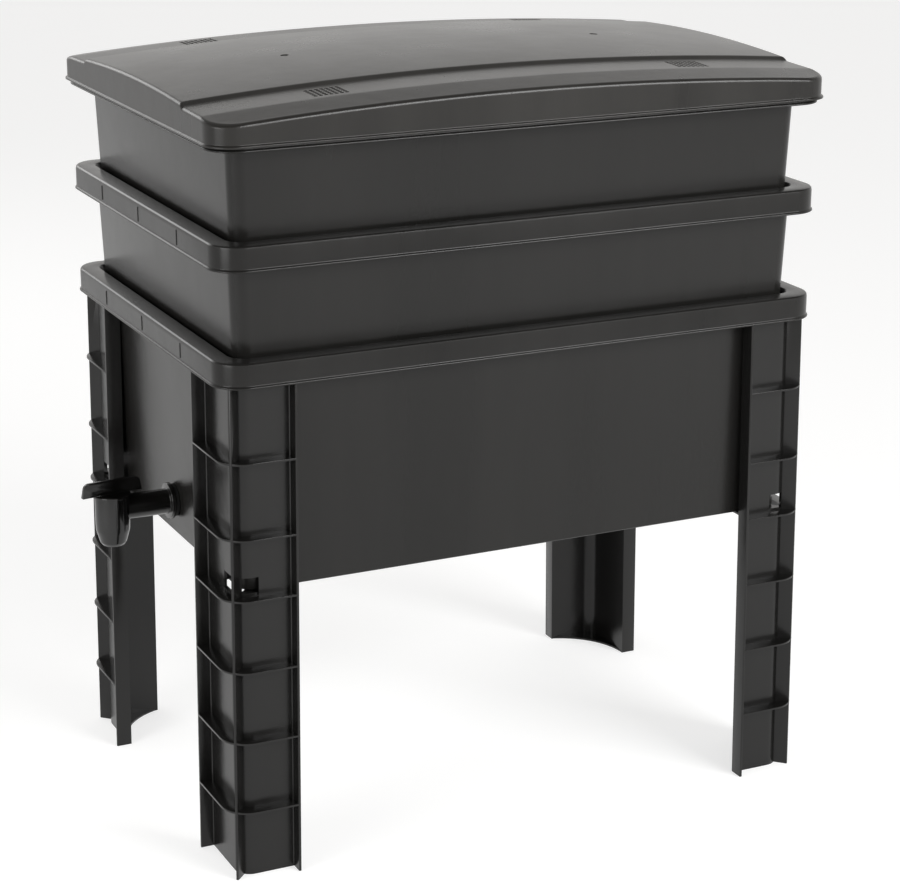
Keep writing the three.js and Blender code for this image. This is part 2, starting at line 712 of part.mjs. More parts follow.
function tapBody() {
  const spout = TAP_SPOUT / 2;
  const side = TAP_BODY / 2;
  const outline = new THREE.Shape();
  outline.moveTo(0, -TAP_BODY_BELOW);
  outline.lineTo(spout - TAP_SPOUT_ROUND, -TAP_BODY_BELOW);
  outline.quadraticCurveTo(spout, -TAP_BODY_BELOW, spout, TAP_SPOUT_ROUND - TAP_BODY_BELOW);
  outline.quadraticCurveTo(side, -TAP_BODY_STRAIGHT - TAP_SPOUT_ROUND, side, -TAP_BODY_STRAIGHT);
  outline.lineTo(side, TAP_BODY_ABOVE);
  outline.lineTo(0, TAP_BODY_ABOVE);
  const valve = new THREE.LatheGeometry(outline.getPoints(CORNER_STEPS), ROUND_STEPS);
  valve.rotateX(Math.PI / 2).translate(valveX, 0, 0);
  const spoutTop = -TAP_PLUG_BELOW - SEAT_GAP;
  const wide = upright(plugBore, spoutTop, TAP_BODY_ABOVE + CUT_OVERRUN, ROUND_STEPS);
  const narrow = upright(TAP_BORE / 2, -TAP_BODY_BELOW - CUT_OVERRUN, 0, SMALL_ROUND_STEPS);
  const waterWay = level(TAP_BORE / 2, valveX, TAP_TAIL_LENGTH + CUT_OVERRUN, SMALL_ROUND_STEPS);
  return solidFrom(valve)
    .add(solidFrom(level(TAP_BARREL / 2, valveX, flangeBack, ROUND_STEPS)))
    .add(solidFrom(level(TAP_FLANGE / 2, flangeFront, flangeBack, ROUND_STEPS)))
    .add(solidFrom(level(TAP_TAIL / 2, flangeFront, TAP_TAIL_LENGTH, SMALL_ROUND_STEPS)))
    .subtract(solidFrom(waterWay))
    .subtract(solidFrom(wide.translate(valveX, 0, 0)))
    .subtract(solidFrom(narrow.translate(valveX, 0, 0)));
}
addPiece(tap, "tap_body", geometryFrom(tapBody()), tapPlastic);

// The handle's cap, wing and hollow plug are one moulding. Its port faces the barrel when open.
const capLow = TAP_BODY_ABOVE + SEAT_GAP;
const capTop = capLow + TAP_CAP_THICKNESS;
const wingLow = capLow + TAP_WING_FOOT;
const ringRadius = plugBore - SEAT_GAP - O_RING_SECTION / 2;
const ringLevel = (TAP_PLUG_ROOF + TAP_BODY_ABOVE) / 2;

function wingShape() {
  const half = TAP_WING_LENGTH / 2;
  const end = half - TAP_WING_SLANT;
  const top = wingLow + TAP_WING_HEIGHT;
  const shape = new THREE.Shape();
  shape.moveTo(-half, wingLow);
  shape.lineTo(half, wingLow);
  shape.lineTo(end, top - TAP_WING_ROUND);
  shape.quadraticCurveTo(end, top, end - TAP_WING_ROUND, top);
  shape.lineTo(TAP_WING_ROUND - end, top);
  shape.quadraticCurveTo(-end, top, -end, top - TAP_WING_ROUND);
  return shape;
}

function tapHandle() {
  const wing = prism(wingShape(), -TAP_WING_THICKNESS / 2, TAP_WING_THICKNESS / 2);
  wing.rotateX(Math.PI / 2);
  const grooveFloor = ringRadius - O_RING_SECTION / 2 - SEAT_GAP;
  const grooveHalf = O_RING_SECTION / 2 + SEAT_GAP;
  const groove = new THREE.LatheGeometry([
    new THREE.Vector2(grooveFloor, ringLevel - grooveHalf),
    new THREE.Vector2(TAP_CAP, ringLevel - grooveHalf),
    new THREE.Vector2(TAP_CAP, ringLevel + grooveHalf),
    new THREE.Vector2(grooveFloor, ringLevel + grooveHalf),
    new THREE.Vector2(grooveFloor, ringLevel - grooveHalf),
  ], SMALL_ROUND_STEPS).rotateX(Math.PI / 2);
  const hollow = upright(TAP_BORE / 2, -TAP_PLUG_BELOW - CUT_OVERRUN, TAP_PLUG_ROOF, SMALL_ROUND_STEPS);
  return solidFrom(upright(TAP_PLUG / 2, -TAP_PLUG_BELOW, capTop, ROUND_STEPS))
    .subtract(solidFrom(groove))
    .add(solidFrom(upright(TAP_CAP / 2, capLow, capTop, ROUND_STEPS)))
    .add(solidFrom(wing))
    .subtract(solidFrom(hollow))
    .subtract(solidFrom(level(TAP_PORT / 2, 0, TAP_BODY, SMALL_ROUND_STEPS)));
}
const turning = new THREE.Group();
turning.position.set(valveX, 0, 0);
turning.rotation.z = TAP_TURN;
tap.add(turning);
addPiece(turning, "tap_handle", geometryFrom(tapHandle()), tapPlastic);

const oRing = new THREE.TorusGeometry(ringRadius, O_RING_SECTION / 2, RING_STEPS, SMALL_ROUND_STEPS);
addPiece(turning, "tap_o_ring", welded(oRing.translate(0, 0, ringLevel)), sealRubber);

// Washers follow the wall's slant on the side that touches it.
const tailBore = TAP_TAIL / 2 + SEAT_GAP;
const outerWasher = flatRing(WASHER_WIDTH / 2, tailBore, -SEAT_GAP - WASHER, -SEAT_GAP, ROUND_STEPS);
addPiece(tap, "tap_outer_washer", welded(slantFace(outerWasher, -SEAT_GAP)), sealRubber);
const washerNear = WALL + SEAT_GAP;
const innerWasher = flatRing(WASHER_WIDTH / 2, tailBore, washerNear, washerNear + WASHER, ROUND_STEPS);
addPiece(tap, "tap_inner_washer", welded(slantFace(innerWasher, washerNear)), sealRubber);

const nutNear = washerNear + WASHER + SEAT_GAP;
const nutFar = nutNear + NUT_THICKNESS;
const nutCorner = NUT_WIDTH / 2 / Math.cos(Math.PI / NUT_SIDES);
const nutBore = level(tailBore, nutNear - CUT_OVERRUN, nutFar + CUT_OVERRUN, ROUND_STEPS);
const nut = solidFrom(level(nutCorner, nutNear, nutFar, NUT_SIDES)).subtract(solidFrom(nutBore));
addPiece(tap, "tap_nut", geometryFrom(nut), tapPlastic);

// Climbing mound, a slotted shell open at the bottom, which stands on the tank's floor
const ladderBottom = tankBottom + FLOOR + SEAT_GAP;
const ladderTop = lowerTrayTop - TRAY_DEPTH - LADDER_HEADROOM;

function ladderRing(inset, share, height) {
  const length = THREE.MathUtils.lerp(LADDER_LENGTH, LADDER_TOP_LENGTH, share);
  const width = THREE.MathUtils.lerp(LADDER_WIDTH, LADDER_TOP_WIDTH, share);
  return ring(length / 2 - inset, width / 2 - inset, LADDER_CORNER - inset, height);
}

function ladderSolid() {
  const shell = stackRings([
    ladderRing(LADDER_WALL, 1, ladderTop - LADDER_WALL),
    ladderRing(LADDER_WALL, 0, ladderBottom),
    ladderRing(0, 0, ladderBottom),
    ladderRing(0, 1, ladderTop),
  ]);
  const slots = [];
  for (let step = 1; step <= LADDER_SLOT_LEVELS; step += 1) {
    const share = step / (LADDER_SLOT_LEVELS + 1);
    const low = THREE.MathUtils.lerp(ladderBottom, ladderTop, share) - LADDER_SLOT / 2;
    const length = THREE.MathUtils.lerp(LADDER_LENGTH, LADDER_TOP_LENGTH, share);
    const width = THREE.MathUtils.lerp(LADDER_WIDTH, LADDER_TOP_WIDTH, share);
    const x = (length * LADDER_SLOT_SHARE) / 2;
    const y = (width * LADDER_SLOT_SHARE) / 2;
    slots.push(box(-x, x, -LADDER_WIDTH, LADDER_WIDTH, low, low + LADDER_SLOT));
    slots.push(box(-LADDER_LENGTH, LADDER_LENGTH, -y, y, low, low + LADDER_SLOT));
  }
  let ladder = solidFrom(shell);
  for (const slot of slots) {
    ladder = ladder.subtract(solidFrom(slot));
  }
  return ladder;
}
addPiece(bin, "worm_ladder", geometryFrom(ladderSolid()), binPlastic);

// The origin is on the ground, under the middle of the whole object with its tap.
wormery.updateMatrixWorld(true);
const reach = new THREE.Box3().setFromObject(wormery, true);
bin.position.x = -(reach.min.x + reach.max.x) / 2;

export default wormery;
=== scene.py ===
# %% [markdown]
# # A stacking wormery in black plastic
# This lesson dresses a worked-out frame of a wormery: a sump on four corner legs, two trays that
# nest in it, a domed lid and a drain tap. The frame holds every size and every joint. Here each
# moulding is modelled again with the rounded edges that real plastic has, because those edges are
# what catch the light on a black object.

# %% Load the frame
import bmesh
import bpy
import json
import math
from mathutils import Euler, Matrix, Vector


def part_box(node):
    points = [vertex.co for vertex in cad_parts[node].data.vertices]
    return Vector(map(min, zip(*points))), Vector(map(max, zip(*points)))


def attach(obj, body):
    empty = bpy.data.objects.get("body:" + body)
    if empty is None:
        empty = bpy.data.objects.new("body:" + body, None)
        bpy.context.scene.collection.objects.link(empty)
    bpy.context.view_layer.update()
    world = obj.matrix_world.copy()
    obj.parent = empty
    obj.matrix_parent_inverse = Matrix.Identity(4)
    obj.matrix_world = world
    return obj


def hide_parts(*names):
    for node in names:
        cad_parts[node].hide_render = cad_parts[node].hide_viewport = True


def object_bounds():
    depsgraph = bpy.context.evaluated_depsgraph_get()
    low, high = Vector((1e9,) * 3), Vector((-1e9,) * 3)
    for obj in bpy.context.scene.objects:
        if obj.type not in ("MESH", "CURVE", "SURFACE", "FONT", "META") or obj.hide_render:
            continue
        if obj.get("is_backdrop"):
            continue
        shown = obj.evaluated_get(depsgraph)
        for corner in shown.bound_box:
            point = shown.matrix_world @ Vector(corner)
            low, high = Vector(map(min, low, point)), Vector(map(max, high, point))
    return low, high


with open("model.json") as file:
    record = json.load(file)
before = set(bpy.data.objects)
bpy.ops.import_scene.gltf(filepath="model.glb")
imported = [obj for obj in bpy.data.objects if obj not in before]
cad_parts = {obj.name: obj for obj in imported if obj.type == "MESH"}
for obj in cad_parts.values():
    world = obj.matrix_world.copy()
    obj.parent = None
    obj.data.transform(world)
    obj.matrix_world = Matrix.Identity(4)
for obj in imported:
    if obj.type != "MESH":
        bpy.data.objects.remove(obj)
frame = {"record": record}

bpy.ops.object.select_all(action="DESELECT")
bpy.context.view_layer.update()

# %% [markdown]
# ## Where things are
# The tank's box gives the middle of the bin and its rim, and the trays' boxes give the levels at
# which they stand. The tap makes the whole object lopsided, so the bin's middle isn't at zero.

# %% Places read from the frame
MM = 0.001
BEAD_REACH = 1.3 * MM

tank_low, tank_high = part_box("collector_tank")
lower_low, lower_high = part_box("lower_tray")
upper_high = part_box("upper_tray")[1]
MIDDLE_X = (tank_low.x + tank_high.x) / 2
RIM_HALF_X = (tank_high.x - tank_low.x) / 2 - BEAD_REACH
RIM_HALF_Y = (tank_high.y - tank_low.y) / 2 - BEAD_REACH
TANK_TOP = tank_high.z
TANK_DEPTH = tank_high.z - tank_low.z
TRAY_DEPTH = lower_high.z - lower_low.z
TRAY_PITCH = upper_high.z - lower_high.z
print("rim", round(2 * RIM_HALF_X, 4), "by", round(2 * RIM_HALF_Y, 4),
      "pitch", round(TRAY_PITCH, 4))

# %% [markdown]
# ## The camera
# The photograph was taken with a long lens from the front left, a little above the lid. Its place
# was worked out from the corners of the rims and of the feet.

# %% Camera
CAMERA_LENS = 99.396
CAMERA_YAW = math.radians(25.406)
CAMERA_PITCH = math.radians(17.574)
CAMERA_ROLL = math.radians(0.082)
CAMERA_PLACE = Vector((MIDDLE_X - 0.9944, -2.1245, TANK_TOP + 0.5736))
CAMERA_FAR = 100

bpy.ops.object.camera_add(location=CAMERA_PLACE)
camera = bpy.context.object
aim = Euler((math.pi / 2 - CAMERA_PITCH, 0, -CAMERA_YAW)).to_matrix()
camera.rotation_euler = (aim @ Matrix.Rotation(CAMERA_ROLL, 3, "Z")).to_euler()
camera.data.lens = CAMERA_LENS
camera.data.sensor_fit = "HORIZONTAL"
camera.data.clip_end = CAMERA_FAR
bpy.context.scene.camera = camera
print("camera at", [round(part, 3) for part in camera.location])

# %% [markdown]
# ## Stage and light
# Black plastic shows what surrounds it. A face that is seen square on stays dark, and one that is
# seen at a slant turns grey. The studio is white low down all round. Overhead it is dark on the
# camera's side, so that the walls and steps stay dark, and grey behind, where the lid finds its
# sheen. The floor glows for the camera and in reflections, so it looks white and keeps its shadow.

# %% Floor
FLOOR_SIZE = 14
FLOOR_COLOUR = (0.5, 0.5, 0.497, 1)
FLOOR_ROUGHNESS = 0.9
FLOOR_GLOSS = 0.1
FLOOR_LIFT = 0.64


def add_node(tree, kind, **inputs):
    """Adds a shader node and sets inputs by name, with an underscore for each space."""
    node = tree.nodes.new(kind)
    for name, value in inputs.items():
        node.inputs[name.replace("_", " ")].default_value = value
    return node


bpy.ops.mesh.primitive_plane_add(size=FLOOR_SIZE, location=(MIDDLE_X, 0, 0))
floor = bpy.context.object
floor.name = "studio_floor"
floor_material = bpy.data.materials.new("studio_floor")
floor_material.use_nodes = True
floor_tree = floor_material.node_tree
link = floor_tree.links.new
floor_shader = floor_tree.nodes["Principled BSDF"]
floor_shader.inputs["Base Color"].default_value = FLOOR_COLOUR
floor_shader.inputs["Roughness"].default_value = FLOOR_ROUGHNESS
floor_shader.inputs["Specular IOR Level"].default_value = FLOOR_GLOSS
floor_shader.inputs["Emission Color"].default_value = (1, 1, 1, 1)
rays = floor_tree.nodes.new("ShaderNodeLightPath")
seen = floor_tree.nodes.new("ShaderNodeMath")
seen.operation = "MAXIMUM"
lift = floor_tree.nodes.new("ShaderNodeMath")
lift.operation = "MULTIPLY"
lift.inputs[1].default_value = FLOOR_LIFT
link(rays.outputs["Is Camera Ray"], seen.inputs[0])
link(rays.outputs["Is Glossy Ray"], seen.inputs[1])
link(seen.outputs["Value"], lift.inputs[0])
link(lift.outputs["Value"], floor_shader.inputs["Emission Strength"])
floor.data.materials.append(floor_material)
floor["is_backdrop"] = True
print("floor", FLOOR_SIZE, "m wide")

# %% [markdown]
# The studio is a sky with two ramps from the ground to the zenith: one on the camera's side and
# one behind the bin. It turns from one to the other over the bin. Real walls of card would do the
# same, but they would also shade the floor.

# %% World
STUDIO_STRENGTH = 1.0
STUDIO_TINT = (1, 0.985, 0.965)
BEHIND_SHADES = [(0.0, 0.95), (0.32, 1.0), (0.46, 0.62), (0.64, 0.4), (1.0, 0.4)]
BEFORE_SHADES = [(0.0, 0.95), (0.32, 0.9), (0.5, 0.6), (0.68, 0.08), (1.0, 0.08)]
TURN_START = -0.25
TURN_END = 0.15
BEFORE_SOCKET = 6
BEHIND_SOCKET = 7

world = bpy.data.worlds.new("white_studio")
world.use_nodes = True
studio = world.node_tree
link = studio.links.new
direction = studio.nodes.new("ShaderNodeTexCoord")
height = studio.nodes.new("ShaderNodeSeparateXYZ")
link(direction.outputs["Generated"], height.inputs["Vector"])
side = add_node(studio, "ShaderNodeMapRange", From_Min=TURN_START, From_Max=TURN_END)
side.interpolation_type = "SMOOTHSTEP"
link(height.outputs["Y"], side.inputs["Value"])
blend = studio.nodes.new("ShaderNodeMix")
blend.data_type = "RGBA"
link(side.outputs["Result"], blend.inputs[0])
for name, steps, socket in (("before", BEFORE_SHADES, BEFORE_SOCKET),
                            ("behind", BEHIND_SHADES, BEHIND_SOCKET)):
    shades = studio.nodes.new("ShaderNodeValToRGB")
    shades.name = name
    while len(shades.color_ramp.elements) < len(steps):
        shades.color_ramp.elements.new(0.5)
    for element, (place, shade) in zip(shades.color_ramp.elements, steps):
        element.position = place
        element.color = (*(shade * part for part in STUDIO_TINT), 1)
    link(height.outputs["Z"], shades.inputs["Fac"])
    link(shades.outputs["Color"], blend.inputs[socket])
link(blend.outputs[2], studio.nodes["Background"].inputs["Color"])
studio.nodes["Background"].inputs["Strength"].default_value = STUDIO_STRENGTH
bpy.context.scene.world = world
bpy.context.scene.view_settings.view_transform = "Standard"
print("world", world.name)

# %% [markdown]
# Four soft boxes draw the highlights. The one over the front gives the thin bright lines along the
# rims, and the one on the left lights the end walls and corners. One behind on the left gleams on
# the lid's edge, and one hangs over the ground that the leg beside the tap mirrors.

# %% Lamps
BIN_CENTRE = (MIDDLE_X, 0, TANK_TOP)
LEFT_GROUND = (MIDDLE_X - 1.25, -0.35, 0)


def add_lamp(name, place, target, size, radiance):
    """Adds a soft box that points at a place; its power follows from how bright its face is."""
    wide, high = size
    bpy.ops.object.light_add(type="AREA", location=place)
    lamp = bpy.context.object
    lamp.name = name
    lamp.data.shape = "RECTANGLE"
    lamp.data.size = wide
    lamp.data.size_y = high
    lamp.data.energy = radiance * math.pi * wide * high
    lamp.rotation_euler = (Vector(target) - Vector(place)).to_track_quat("-Z", "Y").to_euler()
    print(name, "power", round(lamp.data.energy, 1))


add_lamp("over_the_front", (MIDDLE_X + 1.05, -2.2, 1.5), BIN_CENTRE, (1.45, 1.0), 13)
add_lamp("from_the_left", (MIDDLE_X - 2.5, -1.2, 0.95), BIN_CENTRE, (1.3, 1.3), 3.4)
add_lamp("behind_on_the_left", (MIDDLE_X - 0.9, 2.3, 1.5), BIN_CENTRE, (1.0, 1.0), 2.9)
add_lamp("low_on_the_left", (MIDDLE_X - 1.25, -0.35, 0.75), LEFT_GROUND, (0.5, 0.5), 6)

# %% [markdown]
# ## Tools used again and again
# A moulding starts as an empty mesh at the origin, so that its place is in its vertices. What
# is worked on next is selected in code, by its place.

# %% Starting a piece, selecting in it and applying modifiers
WELD = 0.001 * MM
SMOOTH_ANGLE = math.radians(32)


def start_piece(name):
    """Makes an empty mesh object at the origin and goes into edit mode."""
    bpy.ops.object.select_all(action="DESELECT")
    bpy.ops.mesh.primitive_plane_add(size=1)
    piece = bpy.context.object
    piece.name = name
    piece.data.name = name
    bpy.ops.object.mode_set(mode="EDIT")
    bpy.ops.mesh.delete(type="VERT")
    return piece


def leave_edit():
    """Goes back from edit mode to object mode."""
    bpy.ops.object.mode_set(mode="OBJECT")


def use_only(piece):
    """Selects one object and makes it the active one."""
    bpy.ops.object.select_all(action="DESELECT")
    piece.select_set(True)
    bpy.context.view_layer.objects.active = piece


def select(piece, kind, test):
    """Selects the parts of a kind, VERT or EDGE, that pass a test, and nothing else."""
    bpy.ops.mesh.select_mode(type=kind)
    mesh = bmesh.from_edit_mesh(piece.data)
    for part in mesh.verts if kind == "VERT" else mesh.edges:
        part.select = test(part)
    mesh.select_flush_mode()
    bmesh.update_edit_mesh(piece.data)


def apply_modifier(piece, kind, **settings):
    """Adds a modifier, sets it and applies it."""
    use_only(piece)
    modifier = piece.modifiers.new(kind.lower(), kind)
    for name, value in settings.items():
        setattr(modifier, name, value)
    bpy.ops.object.modifier_apply(modifier=modifier.name)


def soften_edges(piece, width, angle=35, segments=2):
    """Rounds the edges of an object that turn by more than an angle, in degrees."""
    apply_modifier(piece, "BEVEL", width=width, segments=segments, limit_method="ANGLE",
                   angle_limit=math.radians(angle))


def open_edges(piece):
    """Counts the edges that don't lie between exactly two faces; a closed mesh has none."""
    mesh = bmesh.new()
    mesh.from_mesh(piece.data)
    count = sum(len(edge.link_faces) != 2 for edge in mesh.edges)
    mesh.free()
    return count


def combine(piece, other, operation):
    """Joins a piece with another object or cuts it; the other is used up, and slivers go."""
    apply_modifier(piece, "BOOLEAN", operation=operation, object=other, solver="EXACT")
    mesh = bmesh.new()
    mesh.from_mesh(piece.data)
    bmesh.ops.dissolve_degenerate(mesh, edges=mesh.edges, dist=WELD)
    bmesh.ops.remove_doubles(mesh, verts=mesh.verts, dist=WELD)
    mesh.to_mesh(piece.data)
    mesh.free()
    print(piece.name, operation.lower(), other.name, "open edges:", open_edges(piece))
    bpy.data.objects.remove(other)


def close_and_smooth(piece):
    """Welds doubles, turns all faces outwards and shades the round stretches smooth."""
    use_only(piece)
    bpy.ops.object.mode_set(mode="EDIT")
    bpy.ops.mesh.select_all(action="SELECT")
    bpy.ops.mesh.remove_doubles(threshold=WELD)
    bpy.ops.mesh.normals_make_consistent(inside=False)
    leave_edit()
    bpy.ops.object.shade_smooth_by_angle(angle=SMOOTH_ANGLE)
    print(piece.name, len(piece.data.polygons), "faces")


# %% [markdown]
# ## Skins through rounded rectangles
# A tray is a stack of rounded rectangles: up the outside of its wall, round the rim and down the
# inside. Every corner of that path is rounded first, so that the edges come out soft without a
# bevel that could fail at the corners. One outline is then extruded again and again, and each new
# loop is laid out at its own size, radius and height.

# %% Rounding a section
CORNER_STEPS = 10
FILLET_STEPS = 3


def round_section(section):
    """Turns each (reach, height, corner, fillet) into points of an arc with that fillet."""
    points = []
    for place, (reach, height, corner, fillet) in enumerate(section):
        here = Vector((reach, height))
        if fillet == 0:
            points.append((reach, height, corner))
            continue
        back = Vector(section[place - 1][:2]) - here
        ahead = Vector(section[place + 1][:2]) - here
        length = fillet / math.tan(back.angle(ahead) / 2)
        start = here + back.normalized() * min(length, back.length / 2)
        end = here + ahead.normalized() * min(length, ahead.length / 2)
        for step in range(FILLET_STEPS + 1):
            t = step / FILLET_STEPS
            point = start * (1 - t) ** 2 + here * 2 * t * (1 - t) + end * t ** 2
            points.append((point.x, point.y, corner + point.x - reach))
    return points


# %% [markdown]
# The outline is a plate with bevelled corners. Each vertex remembers its corner and which way it
# points from there, so a loop can be laid out at any size and keep round corners. Scaling the loop
# would stretch them.

# %% An outline, and the skin that is drawn out of it
def add_outline(piece, half_x, half_y, corner, height):
    """Adds a face with round corners. Each vertex keeps its corner and its direction from it."""
    place = (MIDDLE_X, 0, height)
    bpy.ops.mesh.primitive_plane_add(size=2, location=place)
    bpy.ops.transform.resize(value=(half_x, half_y, 1), center_override=place)
    bpy.ops.mesh.bevel(
        offset=corner, offset_type="OFFSET", segments=CORNER_STEPS, affect="VERTICES")
    mesh = bmesh.from_edit_mesh(piece.data)
    side = mesh.verts.layers.float_vector.new("side")
    turn = mesh.verts.layers.float_vector.new("turn")
    for vert in mesh.verts:
        off = vert.co - Vector(place)
        vert[side] = (math.copysign(1, off.x), math.copysign(1, off.y), 0)
        middle = Vector((vert[side].x * (half_x - corner), vert[side].y * (half_y - corner), 0))
        vert[turn] = (off - middle).normalized()


def lay_loop(piece, half_x, half_y, corner, height):
    """Lays the selected loop out as a rounded rectangle."""
    mesh = bmesh.from_edit_mesh(piece.data)
    side = mesh.verts.layers.float_vector.get("side")
    turn = mesh.verts.layers.float_vector.get("turn")
    for vert in mesh.verts:
        if vert.select:
            x = vert[side].x * (half_x - corner) + vert[turn].x * corner
            y = vert[side].y * (half_y - corner) + vert[turn].y * corner
            vert.co = (MIDDLE_X + x, y, height)
    bmesh.update_edit_mesh(piece.data)


def skin(name, half_x, half_y, level, points):
    """Draws a closed skin through a rounded section round the bin."""
    piece = start_piece(name)
    reach, height, corner = points[0]
    add_outline(piece, half_x + reach, half_y + reach, corner, level + height)
    bpy.ops.mesh.delete(type="ONLY_FACE")
    bpy.ops.mesh.select_mode(type="EDGE")
    bpy.ops.mesh.select_all(action="SELECT")
    for reach, height, corner in points[1:]:
        bpy.ops.mesh.extrude_edges_move()
        lay_loop(piece, half_x + reach, half_y + reach, corner, level + height)
    bpy.ops.mesh.edge_face_add()
    select(piece, "EDGE", lambda edge: edge.is_boundary)
    bpy.ops.mesh.edge_face_add()
    leave_edit()
    close_and_smooth(piece)
    return piece


# %% [markdown]
# ## Small blocks
# Ribs, lugs and cutters for holes are blocks. One edit-mode object can hold many of them, and a
# single boolean then joins or cuts them all.

# %% Blocks and rods
def add_block(x0, x1, y0, y1, z0, z1):
    """Adds a block between two corners, X and Y in either order, to the object in edit mode."""
    place = ((x0 + x1) / 2, (y0 + y1) / 2, (z0 + z1) / 2)
    bpy.ops.mesh.primitive_cube_add(size=1, location=place)
    size = (abs(x1 - x0), abs(y1 - y0), z1 - z0)
    bpy.ops.transform.resize(value=size, center_override=place)


def blocks(name, corners):
    """Makes one object of several blocks."""
    piece = start_piece(name)
    for corner in corners:
        add_block(*corner)
    leave_edit()
    return piece


def rod(name, radius, length, place, steps=64, rotation=(0, 0, 0)):
    """Makes an object of one cylinder, upright unless it is turned."""
    piece = start_piece(name)
    bpy.ops.mesh.primitive_cylinder_add(
        vertices=steps, radius=radius, depth=length, location=place, rotation=rotation)
    leave_edit()
    return piece


def spread(count, length):
    """Gives evenly spaced places along a length, centred on zero."""
    return [(place / (count - 1) - 0.5) * length for place in range(count)]


# %% [markdown]
# ## Moulded plastic
# Polypropylene out of a polished mould is satin: nearly black, with a gloss that breaks up a
# little where the plastic flowed. The grain is finer than a millimetre and only shows as a soft
# edge to each reflection. Patterns use the object's own coordinates, so nothing slides.

# %% Plastic and rubber materials
FLOW_STRETCH = 9
SHINY_SHIFT = 0.05
DULL_SHIFT = 0.06
WAVES = (35, 0.25 * MM)
PEEL = (420, 0.02 * MM)
GRAIN_SIZE = 1400
GRAIN_DEPTH = 0.15 * MM


def moulded(name, dark, light, roughness, grain, streak, gloss_level):
    """Makes a moulded finish from flow marks, a cloudy gloss and three sizes of relief."""
    material = bpy.data.materials.new(name)
    material.use_nodes = True
    tree = material.node_tree
    link = tree.links.new
    shader = tree.nodes["Principled BSDF"]
    shader.inputs["Specular IOR Level"].default_value = gloss_level
    place = tree.nodes.new("ShaderNodeTexCoord")

    stretch = add_node(tree, "ShaderNodeMapping", Scale=(streak, streak, streak / FLOW_STRETCH))
    link(place.outputs["Object"], stretch.inputs["Vector"])
    flow = add_node(tree, "ShaderNodeTexNoise", Scale=1, Detail=5, Roughness=0.6)
    link(stretch.outputs["Vector"], flow.inputs["Vector"])

    tint = tree.nodes.new("ShaderNodeValToRGB")
    for element, position, colour in zip(tint.color_ramp.elements, (0.3, 0.7), (dark, light)):
        element.position = position
        element.color = (*colour, 1)
    link(flow.outputs["Fac"], tint.inputs["Fac"])
    link(tint.outputs["Color"], shader.inputs["Base Color"])

    gloss = add_node(tree, "ShaderNodeMapRange",
                     To_Min=roughness - SHINY_SHIFT, To_Max=roughness + DULL_SHIFT)
    link(flow.outputs["Fac"], gloss.inputs["Value"])
    link(gloss.outputs["Result"], shader.inputs["Roughness"])

    relief = None
    for size, depth in (WAVES, PEEL, (GRAIN_SIZE, GRAIN_DEPTH * grain)):
        lumps = add_node(tree, "ShaderNodeTexNoise", Scale=size, Detail=2)
        link(place.outputs["Object"], lumps.inputs["Vector"])
        bump = add_node(tree, "ShaderNodeBump", Strength=1, Distance=depth)
        link(lumps.outputs["Fac"], bump.inputs["Height"])
        if relief:
            link(relief, bump.inputs["Normal"])
        relief = bump.outputs["Normal"]
    link(relief, shader.inputs["Normal"])
    print(name, "roughness", roughness)
    return material


bin_plastic = moulded(
    "bin_plastic", (0.008, 0.0077, 0.0072), (0.013, 0.0125, 0.0117),
    roughness=0.25, grain=0.25, streak=9, gloss_level=0.3)
lid_plastic = moulded(
    "lid_plastic", (0.011, 0.0104, 0.0095), (0.023, 0.0217, 0.0198),
    roughness=0.28, grain=0.3, streak=11, gloss_level=0.33)
leg_plastic = moulded(
    "leg_plastic", (0.006, 0.0058, 0.0055), (0.01, 0.0097, 0.0092),
    roughness=0.22, grain=0.15, streak=14, gloss_level=0.35)
tap_plastic = moulded(
    "tap_plastic", (0.003, 0.0029, 0.0027), (0.005, 0.0048, 0.0045),
    roughness=0.16, grain=0.08, streak=40, gloss_level=0.5)
seal_rubber = moulded(
    "seal_rubber", (0.008, 0.008, 0.008), (0.012, 0.012, 0.012),
    roughness=0.7, grain=0.5, streak=60, gloss_level=0.4)


def dress(piece, material, body, slot, *nodes):
    """Gives a piece its finish and its body, and hides the frame nodes that it stands for. The
    slot argument is not used.
    """
    piece.data.materials.clear()
    piece.data.materials.append(material)
    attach(piece, body)
    if nodes:
        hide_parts(*nodes)


# %% [markdown]
# ## Tank and trays
# The tank and the trays come from the same kind of mould. The wall leans in a little towards the
# floor, so that one nests in the next. At the mouth it flares into a flat rim, and the rim turns
# down into a skirt that ends in a small bead.

# %% The shared section
WALL = 2.8 * MM
FLOOR_THICKNESS = 3 * MM
NEST_GAP = 0.6 * MM
SEAT_GAP = 0.3 * MM
RIM_SHELF = 18.5 * MM
RIM_THICKNESS = 3 * MM
RIM_CORNER = 27 * MM
BODY_CORNER = 14 * MM
MOUTH_FLARE = 1 * MM
MOUTH_HEIGHT = 10 * MM
SKIRT_HEIGHT = 23.1 * MM
SKIRT_THICKNESS = 2.5 * MM
BEAD_HEIGHT = 1.3 * MM
BEAD_SLOPE = 1.5 * MM
FLOOR_MARGIN = 14 * MM
FOOT_ROUND = 2.4 * MM
TRAY_DRAFT = (WALL + NEST_GAP) / TRAY_PITCH
TANK_DRAFT = 3 * MM / TANK_DEPTH
BODY_HALF_X = RIM_HALF_X - RIM_SHELF
BODY_HALF_Y = RIM_HALF_Y - RIM_SHELF


